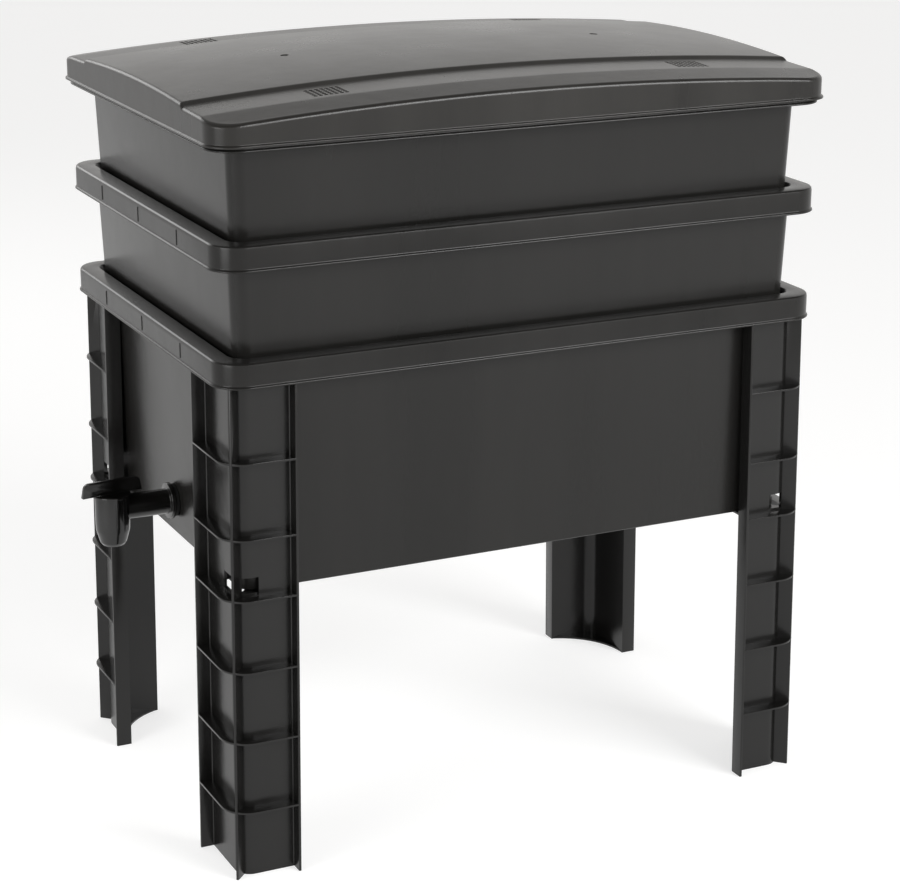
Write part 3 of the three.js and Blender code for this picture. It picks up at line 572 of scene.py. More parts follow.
def tub_section(depth, draft):
    """Lists a tub's (reach, height, corner, fillet), from its underside round to its floor."""
    inside = BODY_CORNER - WALL
    skirt_corner = RIM_CORNER - SKIRT_THICKNESS
    foot = -draft * depth
    neck = -draft * MOUTH_HEIGHT
    lip = MOUTH_FLARE + WALL
    skirt = RIM_SHELF - SKIRT_THICKNESS
    bead = RIM_SHELF + BEAD_REACH
    return [
        (foot - FLOOR_MARGIN, -depth, inside, 0),
        (foot, -depth, BODY_CORNER, FOOT_ROUND),
        (neck, -MOUTH_HEIGHT, BODY_CORNER, 3 * MM),
        (lip, -RIM_THICKNESS, BODY_CORNER + lip, 2 * MM),
        (skirt, -RIM_THICKNESS, skirt_corner, 1.6 * MM),
        (skirt, -SKIRT_HEIGHT, skirt_corner, 0.4 * MM),
        (bead, -SKIRT_HEIGHT, RIM_CORNER + BEAD_REACH, 0.7 * MM),
        (bead, BEAD_HEIGHT - SKIRT_HEIGHT, RIM_CORNER + BEAD_REACH, 1.4 * MM),
        (RIM_SHELF, BEAD_HEIGHT + BEAD_SLOPE - SKIRT_HEIGHT, RIM_CORNER, 1.4 * MM),
        (RIM_SHELF, 0, RIM_CORNER, 3.4 * MM),
        (MOUTH_FLARE, 0, BODY_CORNER + MOUTH_FLARE, 1.4 * MM),
        (neck - WALL, -MOUTH_HEIGHT, inside, 4 * MM),
        (foot - WALL, FLOOR_THICKNESS - depth, inside, 5 * MM),
        (foot - FLOOR_MARGIN, FLOOR_THICKNESS - depth, inside, 0),
    ]


def tub(name, level, depth, draft):
    """Makes the plain tub of a tank or a tray."""
    section = round_section(tub_section(depth, draft))
    return skin(name, BODY_HALF_X, BODY_HALF_Y, level, section)


# %% [markdown]
# Ribs on the inside carry the tray above, and three small ticks stand on each end of the skirt.

# %% Ribs and ticks
RIB_REACH = 9 * MM
RIB_WIDTH = 3 * MM
RIB_SLACK = 0.1 * MM
RIB_SPREAD_LONG = 340 * MM
RIB_SPREAD_WIDE = 180 * MM
TICK_SPREAD = 210 * MM
TICK_HEIGHT = 14 * MM
TICK_WIDTH = 1.6 * MM
TICK_REACH = 0.6 * MM
TICK_ROUND = 0.55 * MM


def add_ribs(piece, level, depth, draft):
    """Joins eight stacking ribs to the inside of a tub."""
    low = level - depth + FLOOR_THICKNESS / 2
    top = level - (TRAY_DEPTH - TRAY_PITCH) - SEAT_GAP
    root = draft * depth + WALL / 2
    face = root + WALL / 2 + RIB_REACH
    half = RIB_WIDTH / 2
    lean = draft * (top - low)
    ribs = start_piece("ribs")
    for side in (-1, 1):
        for place in spread(2, RIB_SPREAD_LONG):
            x = MIDDLE_X + place
            inner, outer = side * (BODY_HALF_Y - face), side * (BODY_HALF_Y - root)
            add_block(x - half, x + half, inner, outer, low, top)
        for place in spread(2, RIB_SPREAD_WIDE):
            inner, outer = side * (BODY_HALF_X - face), side * (BODY_HALF_X - root)
            add_block(MIDDLE_X + inner, MIDDLE_X + outer, place - half, place + half, low, top)
    outer_x = BODY_HALF_X - root - RIB_SLACK
    outer_y = BODY_HALF_Y - root - RIB_SLACK
    select(ribs, "VERT", lambda vert: vert.co.z > top - MM
           and abs(vert.co.x - MIDDLE_X) > outer_x)
    widen_x = (BODY_HALF_X - root + lean) / (BODY_HALF_X - root)
    bpy.ops.transform.resize(value=(widen_x, 1, 1), center_override=(MIDDLE_X, 0, top))
    select(ribs, "VERT", lambda vert: vert.co.z > top - MM and abs(vert.co.y) > outer_y)
    widen_y = (BODY_HALF_Y - root + lean) / (BODY_HALF_Y - root)
    bpy.ops.transform.resize(value=(1, widen_y, 1), center_override=(MIDDLE_X, 0, top))
    leave_edit()
    combine(piece, ribs, "UNION")


def add_ticks(piece, level):
    """Joins three upright ticks to the skirt at each end of a tub."""
    low = level - (SKIRT_HEIGHT + TICK_HEIGHT) / 2
    half = TICK_WIDTH / 2
    corners = []
    for side in (-1, 1):
        for place in spread(3, TICK_SPREAD):
            near = MIDDLE_X + side * (RIM_HALF_X - SKIRT_THICKNESS / 2)
            far = MIDDLE_X + side * (RIM_HALF_X + TICK_REACH)
            corners.append((near, far, place - half, place + half, low, low + TICK_HEIGHT))
    ticks = blocks("ticks", corners)
    soften_edges(ticks, TICK_ROUND, 30, 3)
    combine(piece, ticks, "UNION")


# %% [markdown]
# ## The collector tank
# The tank is the deepest tub. Its left end has the hole for the tap.

# %% Collector tank
tail_low, tail_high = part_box("tap_nut")
TAP_Y = (tail_low.y + tail_high.y) / 2
TAP_Z = (tail_low.z + tail_high.z) / 2
TAP_TAIL = 25 * MM
DRILL_DEPTH = 40 * MM
DRILL_PLACE = 26 * MM

tank = tub("tank_shell", TANK_TOP, TANK_DEPTH, TANK_DRAFT)
add_ribs(tank, TANK_TOP, TANK_DEPTH, TANK_DRAFT)
add_ticks(tank, TANK_TOP)
drill = rod("drill", TAP_TAIL / 2 + SEAT_GAP, DRILL_DEPTH,
            (tank_low.x + DRILL_PLACE, TAP_Y, TAP_Z), 48, (0, math.pi / 2, 0))
combine(tank, drill, "DIFFERENCE")
close_and_smooth(tank)
dress(tank, bin_plastic, "stand", "bin_plastic", "collector_tank")

# %% [markdown]
# ## The working trays
# Both trays are the same moulding, so it is made once and copied a storey higher. Worms climb and
# liquid drains through the holes in the floor.

# %% Trays
HOLE = 8 * MM
HOLES_LONG = 9
HOLES_WIDE = 6
HOLE_MARGIN = 38 * MM
PUNCH_OVER = 4 * MM


def copy_of(pattern, name, change, flip):
    """Copies a piece with its own mesh, changes the copy's place and turns its faces out."""
    piece = pattern.copy()
    piece.data = pattern.data.copy()
    piece.name = name
    piece.data.name = name
    bpy.context.collection.objects.link(piece)
    piece.data.transform(change)
    if flip:
        piece.data.flip_normals()
    return piece


lower_tray = tub("lower_tray_shell", lower_high.z, TRAY_DEPTH, TRAY_DRAFT)
add_ribs(lower_tray, lower_high.z, TRAY_DEPTH, TRAY_DRAFT)
add_ticks(lower_tray, lower_high.z)
punches = []
for x in spread(HOLES_LONG, 2 * (BODY_HALF_X - HOLE_MARGIN)):
    for y in spread(HOLES_WIDE, 2 * (BODY_HALF_Y - HOLE_MARGIN)):
        left = MIDDLE_X + x - HOLE / 2
        front = y - HOLE / 2
        levels = (lower_low.z - PUNCH_OVER, lower_low.z + FLOOR_THICKNESS + PUNCH_OVER)
        punches.append((left, left + HOLE, front, front + HOLE, *levels))
combine(lower_tray, blocks("punches", punches), "DIFFERENCE")
close_and_smooth(lower_tray)

upper_tray = copy_of(lower_tray, "upper_tray_shell", Matrix.Translation((0, 0, TRAY_PITCH)), False)
dress(lower_tray, bin_plastic, "lower_tray", "bin_plastic", "lower_tray")
dress(upper_tray, bin_plastic, "upper_tray", "bin_plastic", "upper_tray")

# %% [markdown]
# ## The lid
# The lid is arched along the bin. A raised panel runs down its middle, with a step on each side
# to a lower strip, and past a soft crease the strip falls to the edge. The top is a flat rounded
# rectangle that is sliced into a fine net, and the net is then lifted to the lid's heights.

# %% Lid heights
lid_low, lid_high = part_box("lid")
LID_BEAD_REACH = 1.5 * MM
LID_HALF_X = (lid_high.x - lid_low.x) / 2 - LID_BEAD_REACH
LID_HALF_Y = (lid_high.y - lid_low.y) / 2 - LID_BEAD_REACH
LID_CORNER = 29 * MM
LID_PANEL_HALF = 131 * MM
LID_STEP_RUN = 5 * MM
LID_BAND_WIDTH = 33.5 * MM
LID_ROUND = 4 * MM
LID_STEP_ROUND = 2 * MM
LID_SKIRT_THICKNESS = 2 * MM
UPPER_TOP = upper_high.z
LID_LINES = [
    (LID_PANEL_HALF, 8.8 * MM, 13.4 * MM),
    (LID_PANEL_HALF + LID_STEP_RUN, 5.7 * MM, 13.4 * MM),
    (LID_HALF_Y - LID_BAND_WIDTH, 4.4 * MM, 13.4 * MM),
    (LID_HALF_Y, -0.6 * MM, 13 * MM),
]
LID_CROWN_HEIGHT = 12.9 * MM
LID_CROWN_ARCH = 15 * MM


def lid_line(across):
    """Gives the height at the lid's ends and the arch added at its middle, by lines."""
    edge, height, arch = LID_LINES[0]
    if across <= edge:
        fall = (across / edge) ** 2
        return (LID_CROWN_HEIGHT + (height - LID_CROWN_HEIGHT) * fall,
                LID_CROWN_ARCH + (arch - LID_CROWN_ARCH) * fall)
    place = next((k for k in range(1, 4) if LID_LINES[k][0] >= across), 3)
    (y0, height0, arch0), (y1, height1, arch1) = LID_LINES[place - 1], LID_LINES[place]
    share = (across - y0) / (y1 - y0)
    return height0 + (height1 - height0) * share, arch0 + (arch1 - arch0) * share


def lid_height(x, y):
    """Gives the lid's height over the upper rim, averaged across the step to round it."""
    across = abs(y)
    samples = [lid_line(abs(across + offset)) for offset in spread(5, LID_STEP_ROUND)]
    height = sum(sample[0] for sample in samples) / len(samples)
    arch = sum(sample[1] for sample in samples) / len(samples)
    return height + arch * (1 - ((x - MIDDLE_X) / LID_HALF_X) ** 2)


# %% [markdown]
# The net is even along the arch and finer across the steps, where the height changes fast.

# %% Lid shell
LID_SLICES_LONG = 50
LID_CUTS = [0, 22, 44, 66, 88, 108, 122, 128, 129.7, 130.6, 131.5, 132.5, 134.5, 135.5, 136.5,
            138, 148, 160, 172, 178, 180, 182, 190, 200, 207]

lid = start_piece("lid_shell")
add_outline(lid, LID_HALF_X - LID_ROUND, LID_HALF_Y - LID_ROUND, LID_CORNER - LID_ROUND, UPPER_TOP)
for x in spread(LID_SLICES_LONG + 1, 2 * LID_HALF_X)[1:-1]:
    bpy.ops.mesh.select_all(action="SELECT")
    bpy.ops.mesh.bisect(plane_co=(MIDDLE_X + x, 0, UPPER_TOP), plane_no=(1, 0, 0))
for cut in LID_CUTS:
    for side in {-1, 1} if cut else {1}:
        bpy.ops.mesh.select_all(action="SELECT")
        bpy.ops.mesh.bisect(plane_co=(MIDDLE_X, side * cut * MM, UPPER_TOP), plane_no=(0, 1, 0))
net = bmesh.from_edit_mesh(lid.data)
for vert in net.verts:
    vert.co.z = UPPER_TOP + lid_height(vert.co.x, vert.co.y)
bmesh.update_edit_mesh(lid.data)

# %% [markdown]
# The edge of the net is extruded round a quarter turn and then down into the skirt. The next loop
# is scaled to no height, which lays it flat, and from there the skirt flares out to its bead.

# %% Lid skirt
def widen(reach, drop):
    """Extrudes the selected edge of the lid outwards and down."""
    bpy.ops.mesh.extrude_region_move(TRANSFORM_OT_translate={"value": (0, 0, -drop)})
    bpy.ops.transform.resize(
        value=(1 + reach / LID_HALF_X, 1 + reach / LID_HALF_Y, 1),
        center_override=(MIDDLE_X, 0, 0))


def flatten(level):
    """Extrudes the selected edge and lays it flat at a level."""
    bpy.ops.mesh.extrude_region_move()
    bpy.ops.transform.resize(value=(1, 1, 0), center_override=(MIDDLE_X, 0, level))


ROUND_STEPS = 6
SUPPORT_LOOP = 0.5 * MM
LID_SKIRT_EXTRA = 1.8 * MM
LID_EDGE_ROUND = 0.5 * MM
LID_BEAD_FLARE = [
    (0, 0.5), (0.1, 0.3), (0.25, 0.25), (0.4, 0.2), (0.4, 0.2), (0.25, 0.25), (0.1, 0.3)]
select(lid, "EDGE", lambda edge: edge.is_boundary)
turn = [math.pi / 2 * step / ROUND_STEPS for step in range(ROUND_STEPS + 1)]
for before, after in zip(turn, turn[1:]):
    widen(LID_ROUND * (math.sin(after) - math.sin(before)),
          LID_ROUND * (math.cos(before) - math.cos(after)))
skirt_low = lid_low.z - LID_SKIRT_EXTRA
widen(0, SUPPORT_LOOP)
flatten(skirt_low + BEAD_HEIGHT + sum(drop for reach, drop in LID_BEAD_FLARE) * MM)
for reach, drop in LID_BEAD_FLARE:
    widen(reach * MM, drop * MM)
widen(0, BEAD_HEIGHT)
leave_edit()
close_and_smooth(lid)
apply_modifier(lid, "SOLIDIFY", thickness=LID_SKIRT_THICKNESS, offset=-1, use_even_offset=True)
soften_edges(lid, LID_EDGE_ROUND, 60)

# %% [markdown]
# Four patches of small round holes let air in over the trays.

# %% Vents
VENT_SPREAD_LONG = 358 * MM
VENT_SPREAD_WIDE = 318 * MM
VENT_PITCH_LONG = 4.85 * MM
VENT_PITCH_WIDE = 4.7 * MM
VENT_RADIUS = 2 * MM
VENT_COLUMNS = 7
VENT_ROWS = 6
PIN_LENGTH = 60 * MM
PIN_RAISE = 10 * MM

pins = start_piece("vent_pins")
for patch_x in spread(2, VENT_SPREAD_LONG):
    for patch_y in spread(2, VENT_SPREAD_WIDE):
        for row_x in spread(VENT_COLUMNS, (VENT_COLUMNS - 1) * VENT_PITCH_LONG):
            for row_y in spread(VENT_ROWS, (VENT_ROWS - 1) * VENT_PITCH_WIDE):
                bpy.ops.mesh.primitive_cylinder_add(
                    vertices=10, radius=VENT_RADIUS, depth=PIN_LENGTH,
                    location=(MIDDLE_X + patch_x + row_x, patch_y + row_y, UPPER_TOP + PIN_RAISE))
leave_edit()
combine(lid, pins, "DIFFERENCE")

# %% [markdown]
# Molten plastic came in at two gates on the panel. Each left a shallow dish with a pip in it.

# %% Gate marks
GATE_SPREAD = 320 * MM
GATE_Y = -15 * MM
DISH_DEPTH = 0.9 * MM
DISH_RISE = 3 * MM
DISH_LOW_RADIUS = 3.4 * MM
DISH_HIGH_RADIUS = 7.4 * MM
PIP_ROOT = 0.4 * MM
PIP_SETBACK = 0.1 * MM
PIP_LOW_RADIUS = 1.5 * MM
PIP_HIGH_RADIUS = 0.8 * MM


def gate_cones(name, radius_low, radius_high, low, high):
    """Makes an upright cone at each gate, between two heights over the lid."""
    cones = start_piece(name)
    for gate_x in spread(2, GATE_SPREAD):
        level = UPPER_TOP + lid_height(MIDDLE_X + gate_x, GATE_Y)
        bpy.ops.mesh.primitive_cone_add(
            vertices=24, radius1=radius_low, radius2=radius_high, depth=high - low,
            location=(MIDDLE_X + gate_x, GATE_Y, level + (low + high) / 2))
    leave_edit()
    return cones


dishes = gate_cones("gate_dishes", DISH_LOW_RADIUS, DISH_HIGH_RADIUS, -DISH_DEPTH, DISH_RISE)
combine(lid, dishes, "DIFFERENCE")
pip_low = -DISH_DEPTH - PIP_ROOT
pips = gate_cones("gate_pips", PIP_LOW_RADIUS, PIP_HIGH_RADIUS, pip_low, -PIP_SETBACK)
combine(lid, pips, "UNION")

# %% [markdown]
# Lugs under the lid stand on the upper tray's rim, three along each side and two at each end.

# %% Lid lugs
LUG_REACH = 16 * MM
LUG_WIDTH = 2.4 * MM
LUG_SINK = 1.6 * MM
LUG_SPREAD_LONG = 380 * MM
LUG_SPREAD_WIDE = 210 * MM
half = LUG_WIDTH / 2
low = UPPER_TOP + SEAT_GAP
lug_corners = []
for side in (-1, 1):
    for place in spread(3, LUG_SPREAD_LONG):
        x = MIDDLE_X + place
        inner, outer = side * (LID_HALF_Y - LUG_REACH), side * (LID_HALF_Y - LUG_SINK)
        top = UPPER_TOP + lid_height(x, LID_HALF_Y) - LUG_SINK
        lug_corners.append((x - half, x + half, inner, outer, low, top))
    for place in spread(2, LUG_SPREAD_WIDE):
        inner, outer = side * (LID_HALF_X - LUG_REACH), side * (LID_HALF_X - LUG_SINK)
        top = UPPER_TOP + lid_height(MIDDLE_X + LID_HALF_X, place) - LUG_SINK
        lug_corners.append((
            MIDDLE_X + inner, MIDDLE_X + outer, place - half, place + half, low, top))
combine(lid, blocks("lugs", lug_corners), "UNION")
close_and_smooth(lid)
dress(lid, lid_plastic, "lid", "bin_plastic", "lid")

# %% [markdown]
# ## The legs
# Each leg is an L that hugs a corner of the tank. A thin web carries the load, and to keep it from
# buckling it has a flange at each end, a rib down its corner and shelves all the way up. It is
# drawn for the back right corner: blocks with one round corner are joined, the inside of the L is
# cut out of them, and the sole and the ledges are put back in.

# %% Leg sizes
LEG_GAP = 0.4 * MM
LEG_ARM_LONG = 67.6 * MM
LEG_ARM_WIDE = 85.6 * MM
LEG_CORNER = 26 * MM
LEG_WEB_CORNER = 15 * MM
LEG_WALL = 2.5 * MM
LEG_SHELF = 2 * MM
LEG_SEAT_REACH = 20 * MM
LEG_SEAT_SETBACK = 46 * MM
SOLE_RADIUS = 74 * MM
SPLAY_X = 5.3 * MM
SPLAY_Y = 2 * MM
OVER = 5 * MM
NEAR = 0.01 * MM

LEG_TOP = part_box("front_left_leg")[1].z
SEAT = tank_low.z - SEAT_GAP
LEG_OUT_X = MIDDLE_X + RIM_HALF_X - SKIRT_THICKNESS - LEG_GAP
LEG_OUT_Y = RIM_HALF_Y - SKIRT_THICKNESS - LEG_GAP
LEG_IN_X = MIDDLE_X + BODY_HALF_X - TANK_DRAFT * (TANK_TOP - LEG_TOP) + LEG_GAP
LEG_IN_Y = BODY_HALF_Y - TANK_DRAFT * (TANK_TOP - LEG_TOP) + LEG_GAP
WEB_X = LEG_IN_X + LEG_WALL
WEB_Y = LEG_IN_Y + LEG_WALL
LEG_END_X = LEG_OUT_X - LEG_ARM_LONG
LEG_END_Y = LEG_OUT_Y - LEG_ARM_WIDE
print("leg arms", round(LEG_ARM_LONG, 4), round(LEG_ARM_WIDE, 4), "height", round(LEG_TOP, 4))


# %% [markdown]
# Web, shelves, sole and ledges turn the same corner, each at its own radius. So a block's one edge
# is rounded as soon as the block is there.

# %% Blocks with one round corner
def add_corner_block(piece, low, high, radius, steps=8):
    """Adds a block whose upright edge at its highest X and Y is rounded."""
    known = len(bmesh.from_edit_mesh(piece.data).verts)
    add_block(low[0], high[0], low[1], high[1], low[2], high[2])
    bmesh.from_edit_mesh(piece.data).verts.index_update()
    select(piece, "EDGE", lambda edge: all(
        vert.index >= known and abs(vert.co.x - high[0]) < NEAR and abs(vert.co.y - high[1]) < NEAR
        for vert in edge.verts))
    bpy.ops.mesh.bevel(offset=radius, offset_type="OFFSET", segments=steps, affect="EDGES")


# %% [markdown]
# A moulded edge is never quite sharp, and on a black leg the edges are what shows. They are
# rounded on each set of blocks before it is joined: a bevel over the whole leg folds small faces.

# %% Web, shelves and flanges of the leg
LEG_FILLET = 0.45 * MM
SET_BACK = 0.5 * MM
PROUD = 0.15 * MM
UPPER_SHELF_SHARES = (0.275, 0.614)
MID_FLANGE_X = LEG_END_X + LEG_WALL / 2
MID_FLANGE_Y = LEG_END_Y + LEG_WALL / 2
leg = start_piece("leg_pattern")
add_corner_block(leg, (MID_FLANGE_X, MID_FLANGE_Y, 0), (WEB_X, WEB_Y, LEG_TOP), LEG_WEB_CORNER)
leave_edit()

shelf_levels = [(SEAT - LEG_SHELF) * step / 4 for step in (1, 2, 3, 4)]
shelf_levels += [
    SEAT - LEG_SHELF + (LEG_TOP - SEAT + LEG_SHELF) * share for share in UPPER_SHELF_SHARES]
shelves = start_piece("shelves")
for level in shelf_levels:
    low_corner = (MID_FLANGE_X + SET_BACK, MID_FLANGE_Y + SET_BACK, level - LEG_SHELF)
    add_corner_block(shelves, low_corner, (LEG_OUT_X, LEG_OUT_Y, level), LEG_CORNER)
leave_edit()
soften_edges(shelves, LEG_FILLET)
combine(leg, shelves, "UNION")

flanges = blocks("flanges", [
    (LEG_END_X, LEG_END_X + LEG_WALL, LEG_IN_Y - OVER, LEG_OUT_Y - PROUD, 0, LEG_TOP),
    (LEG_IN_X - OVER, LEG_OUT_X - PROUD, LEG_END_Y, LEG_END_Y + LEG_WALL, 0, LEG_TOP),
])
soften_edges(flanges, LEG_FILLET)
combine(leg, flanges, "UNION")

# %% [markdown]
# One more rib runs down the outside of the corner, from the web's curve to the shelves' curve.

# %% Corner rib
LEAN = 1 - math.sqrt(0.5)
RIB_OVER = 0.2 * MM
RIB_SHORT = 0.1 * MM
web_corner = Vector((WEB_X, WEB_Y)) - Vector((1, 1)) * LEG_WEB_CORNER * LEAN
shelf_corner = Vector((LEG_OUT_X, LEG_OUT_Y)) - Vector((1, 1)) * LEG_CORNER * LEAN
run = shelf_corner - web_corner
root = web_corner - run.normalized() * LEG_WALL / 2
length = (shelf_corner - root).length + RIB_OVER
rib = blocks("corner_rib", [
    (0, length, -LEG_WALL / 2, LEG_WALL / 2, RIB_SHORT, LEG_TOP - RIB_SHORT)])
soften_edges(rib, LEG_FILLET)
rib.data.transform(Matrix.Rotation(math.atan2(run.y, run.x), 4, "Z"))
rib.data.transform(Matrix.Translation((root.x, root.y, 0)))
combine(leg, rib, "UNION")

# %% [markdown]
# The inside is cut after the joins, so the blocks can overlap in it and leave nothing behind.

# %% The inside of the L
inside = start_piece("inside")
low_corner = (LEG_END_X - OVER, LEG_END_Y - OVER, -OVER)
high_corner = (LEG_IN_X, LEG_IN_Y, LEG_TOP + OVER)
add_corner_block(inside, low_corner, high_corner, LEG_WEB_CORNER - LEG_WALL)
leave_edit()
combine(leg, inside, "DIFFERENCE")
print(leg.name, len(leg.data.polygons), "faces")

# %% [markdown]
# The sole closes the foot, with a hollow arc between the ends of the arms. Higher up, one ledge
# carries the tank's long side and is cut at 45 degrees beside the corner, and a shorter one
# carries its end. The two windows over the ledges let the mould close behind them.

# %% Sole, ledges and windows
sole = start_piece("sole")
low_corner = (MID_FLANGE_X + SET_BACK, MID_FLANGE_Y + SET_BACK, 0)
high_corner = (WEB_X - LEG_WALL / 2, WEB_Y - LEG_WALL / 2, LEG_SHELF)
add_corner_block(sole, low_corner, high_corner, LEG_WEB_CORNER - LEG_WALL / 2)
leave_edit()
arm_end_a = Vector((LEG_END_X + LEG_WALL, LEG_IN_Y))
arm_end_b = Vector((LEG_IN_X, LEG_END_Y + LEG_WALL))
chord = arm_end_b - arm_end_a
offset = math.sqrt(SOLE_RADIUS ** 2 - chord.length_squared / 4)
centre = (arm_end_a + arm_end_b) / 2 + Vector((chord.y, -chord.x)).normalized() * offset
combine(sole, rod("hollow", SOLE_RADIUS, 4 * OVER, (centre.x, centre.y, 0), 128), "DIFFERENCE")
combine(leg, sole, "UNION")

LEDGE_RAISE = 0.1 * MM
LEDGE_CUT = 0.3 * MM
ledges = start_piece("ledges")
root_x = WEB_X - LEG_WALL / 2
root_y = WEB_Y - LEG_WALL / 2
ledge_low = SEAT - LEG_SHELF + LEDGE_RAISE
add_corner_block(ledges, (MID_FLANGE_X - SET_BACK, LEG_IN_Y - LEG_SEAT_REACH, ledge_low),
                 (root_x, root_y, SEAT), LEG_WEB_CORNER - LEG_WALL / 2)
bpy.ops.mesh.select_all(action="SELECT")
bpy.ops.mesh.bisect(plane_co=(LEG_IN_X + LEDGE_CUT, LEG_IN_Y, SEAT), plane_no=(1, -1, 0),
                    use_fill=True, clear_outer=True)
add_block(LEG_IN_X - LEG_SEAT_REACH, root_x, MID_FLANGE_Y - SET_BACK, LEG_IN_Y - LEG_SEAT_SETBACK,
          ledge_low, SEAT)
leave_edit()
combine(leg, ledges, "UNION")

WINDOW_TOP = SEAT + 15 * MM
WINDOW_LOW = SEAT + 0.1 * MM
WINDOW_NEAR = 4 * MM
WINDOW_FAR_X = 18.9 * MM
WINDOW_FAR_Y = 27 * MM
SILL = SEAT - LEG_SHELF + 0.4 * MM
SILL_SETBACK = 0.4 * MM
span_x = (LEG_IN_X - WINDOW_FAR_X, LEG_IN_X - WINDOW_NEAR)
span_y = (LEG_IN_Y - WINDOW_FAR_Y, LEG_IN_Y - WINDOW_NEAR)
windows = blocks("windows", [
    (*span_x, LEG_IN_Y - OVER, WEB_Y + MM, WINDOW_LOW, WINDOW_TOP),
    (LEG_IN_X - OVER, WEB_X + MM, *span_y, WINDOW_LOW, WINDOW_TOP),
])
sills = blocks("sills", [
    (*span_x, LEG_IN_Y + SILL_SETBACK, WEB_Y + MM, SILL, WINDOW_TOP - MM),
    (LEG_IN_X + SILL_SETBACK, WEB_X + MM, *span_y, SILL, WINDOW_TOP - MM),
])
combine(windows, sills, "UNION")
combine(leg, windows, "DIFFERENCE")
print(leg.name, len(leg.data.polygons), "faces")

# %% [markdown]
# A narrow slanted strip in each crease between web and flange stands for the fillet there. Then
# the leg leans out a little towards the ground, and all four are mirrored copies of it.

# %% Fillets, lean and the four corners
STRIP = 1.1 * MM
for x, y in ((LEG_END_X + LEG_WALL, WEB_Y), (WEB_X, LEG_END_Y + LEG_WALL)):
    strip = blocks("strip", [
        (-STRIP / 2, STRIP / 2, -STRIP / 2, STRIP / 2, LEG_SHELF, LEG_TOP - MM)])
    strip.data.transform(Matrix.Rotation(math.pi / 4, 4, "Z"))
    strip.data.transform(Matrix.Translation((x, y, 0)))
    combine(leg, strip, "UNION")
lean = Matrix.Identity(4)
lean[0][2] = -SPLAY_X / LEG_TOP
lean[0][3] = SPLAY_X
lean[1][2] = -SPLAY_Y / LEG_TOP
lean[1][3] = SPLAY_Y
leg.data.transform(lean)
close_and_smooth(leg)

for side, sign_x in (("left", -1), ("right", 1)):
    for end, sign_y in (("front", -1), ("back", 1)):
        mirror = Matrix.Diagonal((sign_x, sign_y, 1, 1))
        mirror[0][3] = MIDDLE_X * (1 - sign_x)
        piece = copy_of(leg, end + "_" + side + "_leg_fine", mirror, sign_x * sign_y < 0)
        dress(piece, leg_plastic, "stand", "leg_plastic", end + "_" + side + "_leg")
bpy.data.objects.remove(leg)

# %% [markdown]
# ## The tap
# The tap is a standard drain tap. Its valve body is turned about an upright axis, the barrel and
# flange about a level one. Turned shapes are drawn out of a circle, one loop for each point of
# their profile, and a profile that comes back to its start makes a hollow piece.

# %% Turning a profile
def turned(name, profile, steps=64):
    """Draws a body of revolution about Z through (radius, height) points."""
    piece = start_piece(name)
    radius, height = profile[0]
    bpy.ops.mesh.primitive_circle_add(vertices=steps, radius=radius, location=(0, 0, height))
    bpy.ops.mesh.select_mode(type="EDGE")
    for radius_next, height_next in profile[1:]:
        bpy.ops.mesh.extrude_edges_move(
            TRANSFORM_OT_translate={"value": (0, 0, height_next - height)})
        share = radius_next / radius
        bpy.ops.transform.resize(value=(share, share, 1), center_override=(0, 0, 0))
        radius, height = radius_next, height_next
    if profile[0] != profile[-1]:
        bpy.ops.mesh.edge_face_add()
        select(piece, "EDGE", lambda edge: edge.is_boundary)
        bpy.ops.mesh.edge_face_add()
    leave_edit()
    close_and_smooth(piece)
    return piece


def soften(corners):
    """Rounds a profile of (radius, height, fillet) corners; a closed one repeats its start."""
    section = [(radius, height, 0, fillet) for radius, height, fillet in corners]
    return [(point[0], point[1]) for point in round_section(section)]


def lay_level(piece, x, y, z):
    """Turns an upright piece so that its top points at +X, and moves its foot to a place."""
    piece.data.transform(Matrix.Rotation(math.pi / 2, 4, "Y"))
    piece.data.transform(Matrix.Translation((x, y, z)))


# %% [markdown]
# The sizes are those of a three-quarter-inch tap. It starts from the tank's sloping wall: washer,
# flange and barrel, and then the valve.

# %% Tap sizes
TAP_FLANGE = 34.4 * MM
TAP_FLANGE_THICKNESS = 4.2 * MM
TAP_BARREL = 23.8 * MM
TAP_REACH = 53.5 * MM
TAP_BORE = 14 * MM
TAP_TAIL_LENGTH = 24 * MM
TAP_BODY_ABOVE = 12.6 * MM
TAP_PLUG = 23.4 * MM
TAP_PLUG_BELOW = 18 * MM
TAP_CAP = 35.5 * MM
TAP_CAP_THICKNESS = 2.4 * MM
TAP_TURN = math.radians(7)
WASHER = 3 * MM

TAP_WALL = MIDDLE_X - BODY_HALF_X + TANK_DRAFT * (TANK_TOP - TAP_Z)
FLANGE_BACK = TAP_WALL - 2 * SEAT_GAP - WASHER
VALVE_X = FLANGE_BACK - TAP_FLANGE_THICKNESS - TAP_REACH
joints = frame["record"]["behaviour"]["joints"]
hinge = next(joint for joint in joints if joint["name"] == "tap_turn")
print("valve axis", round(VALVE_X, 5), "hinge", hinge["pos_m"])

# %% [markdown]
# The valve body is a cup with a spout under it. Its profile, in (radius, height, fillet), runs up
# the outside and comes back down the bore.

# %% Valve body
body_corners = [
    (7, -34.7, 0), (10, -34.7, 2), (12.4, -31.5, 2), (15.7, -20, 12), (16, -14, 8),
    (16, 12.6, 0.5), (12, 12.6, 0.4), (12, -18.3, 0.4), (7, -18.3, 0.3), (7, -34.7, 0)]
body_profile = soften([tuple(part * MM for part in corner) for corner in body_corners])
tap_body = turned("tap_body_fine", body_profile)
tap_body.data.transform(Matrix.Translation((VALVE_X, TAP_Y, TAP_Z)))

# %% [markdown]
# Two narrow sink lines run down the front of the valve body, where the mould's core pins meet.

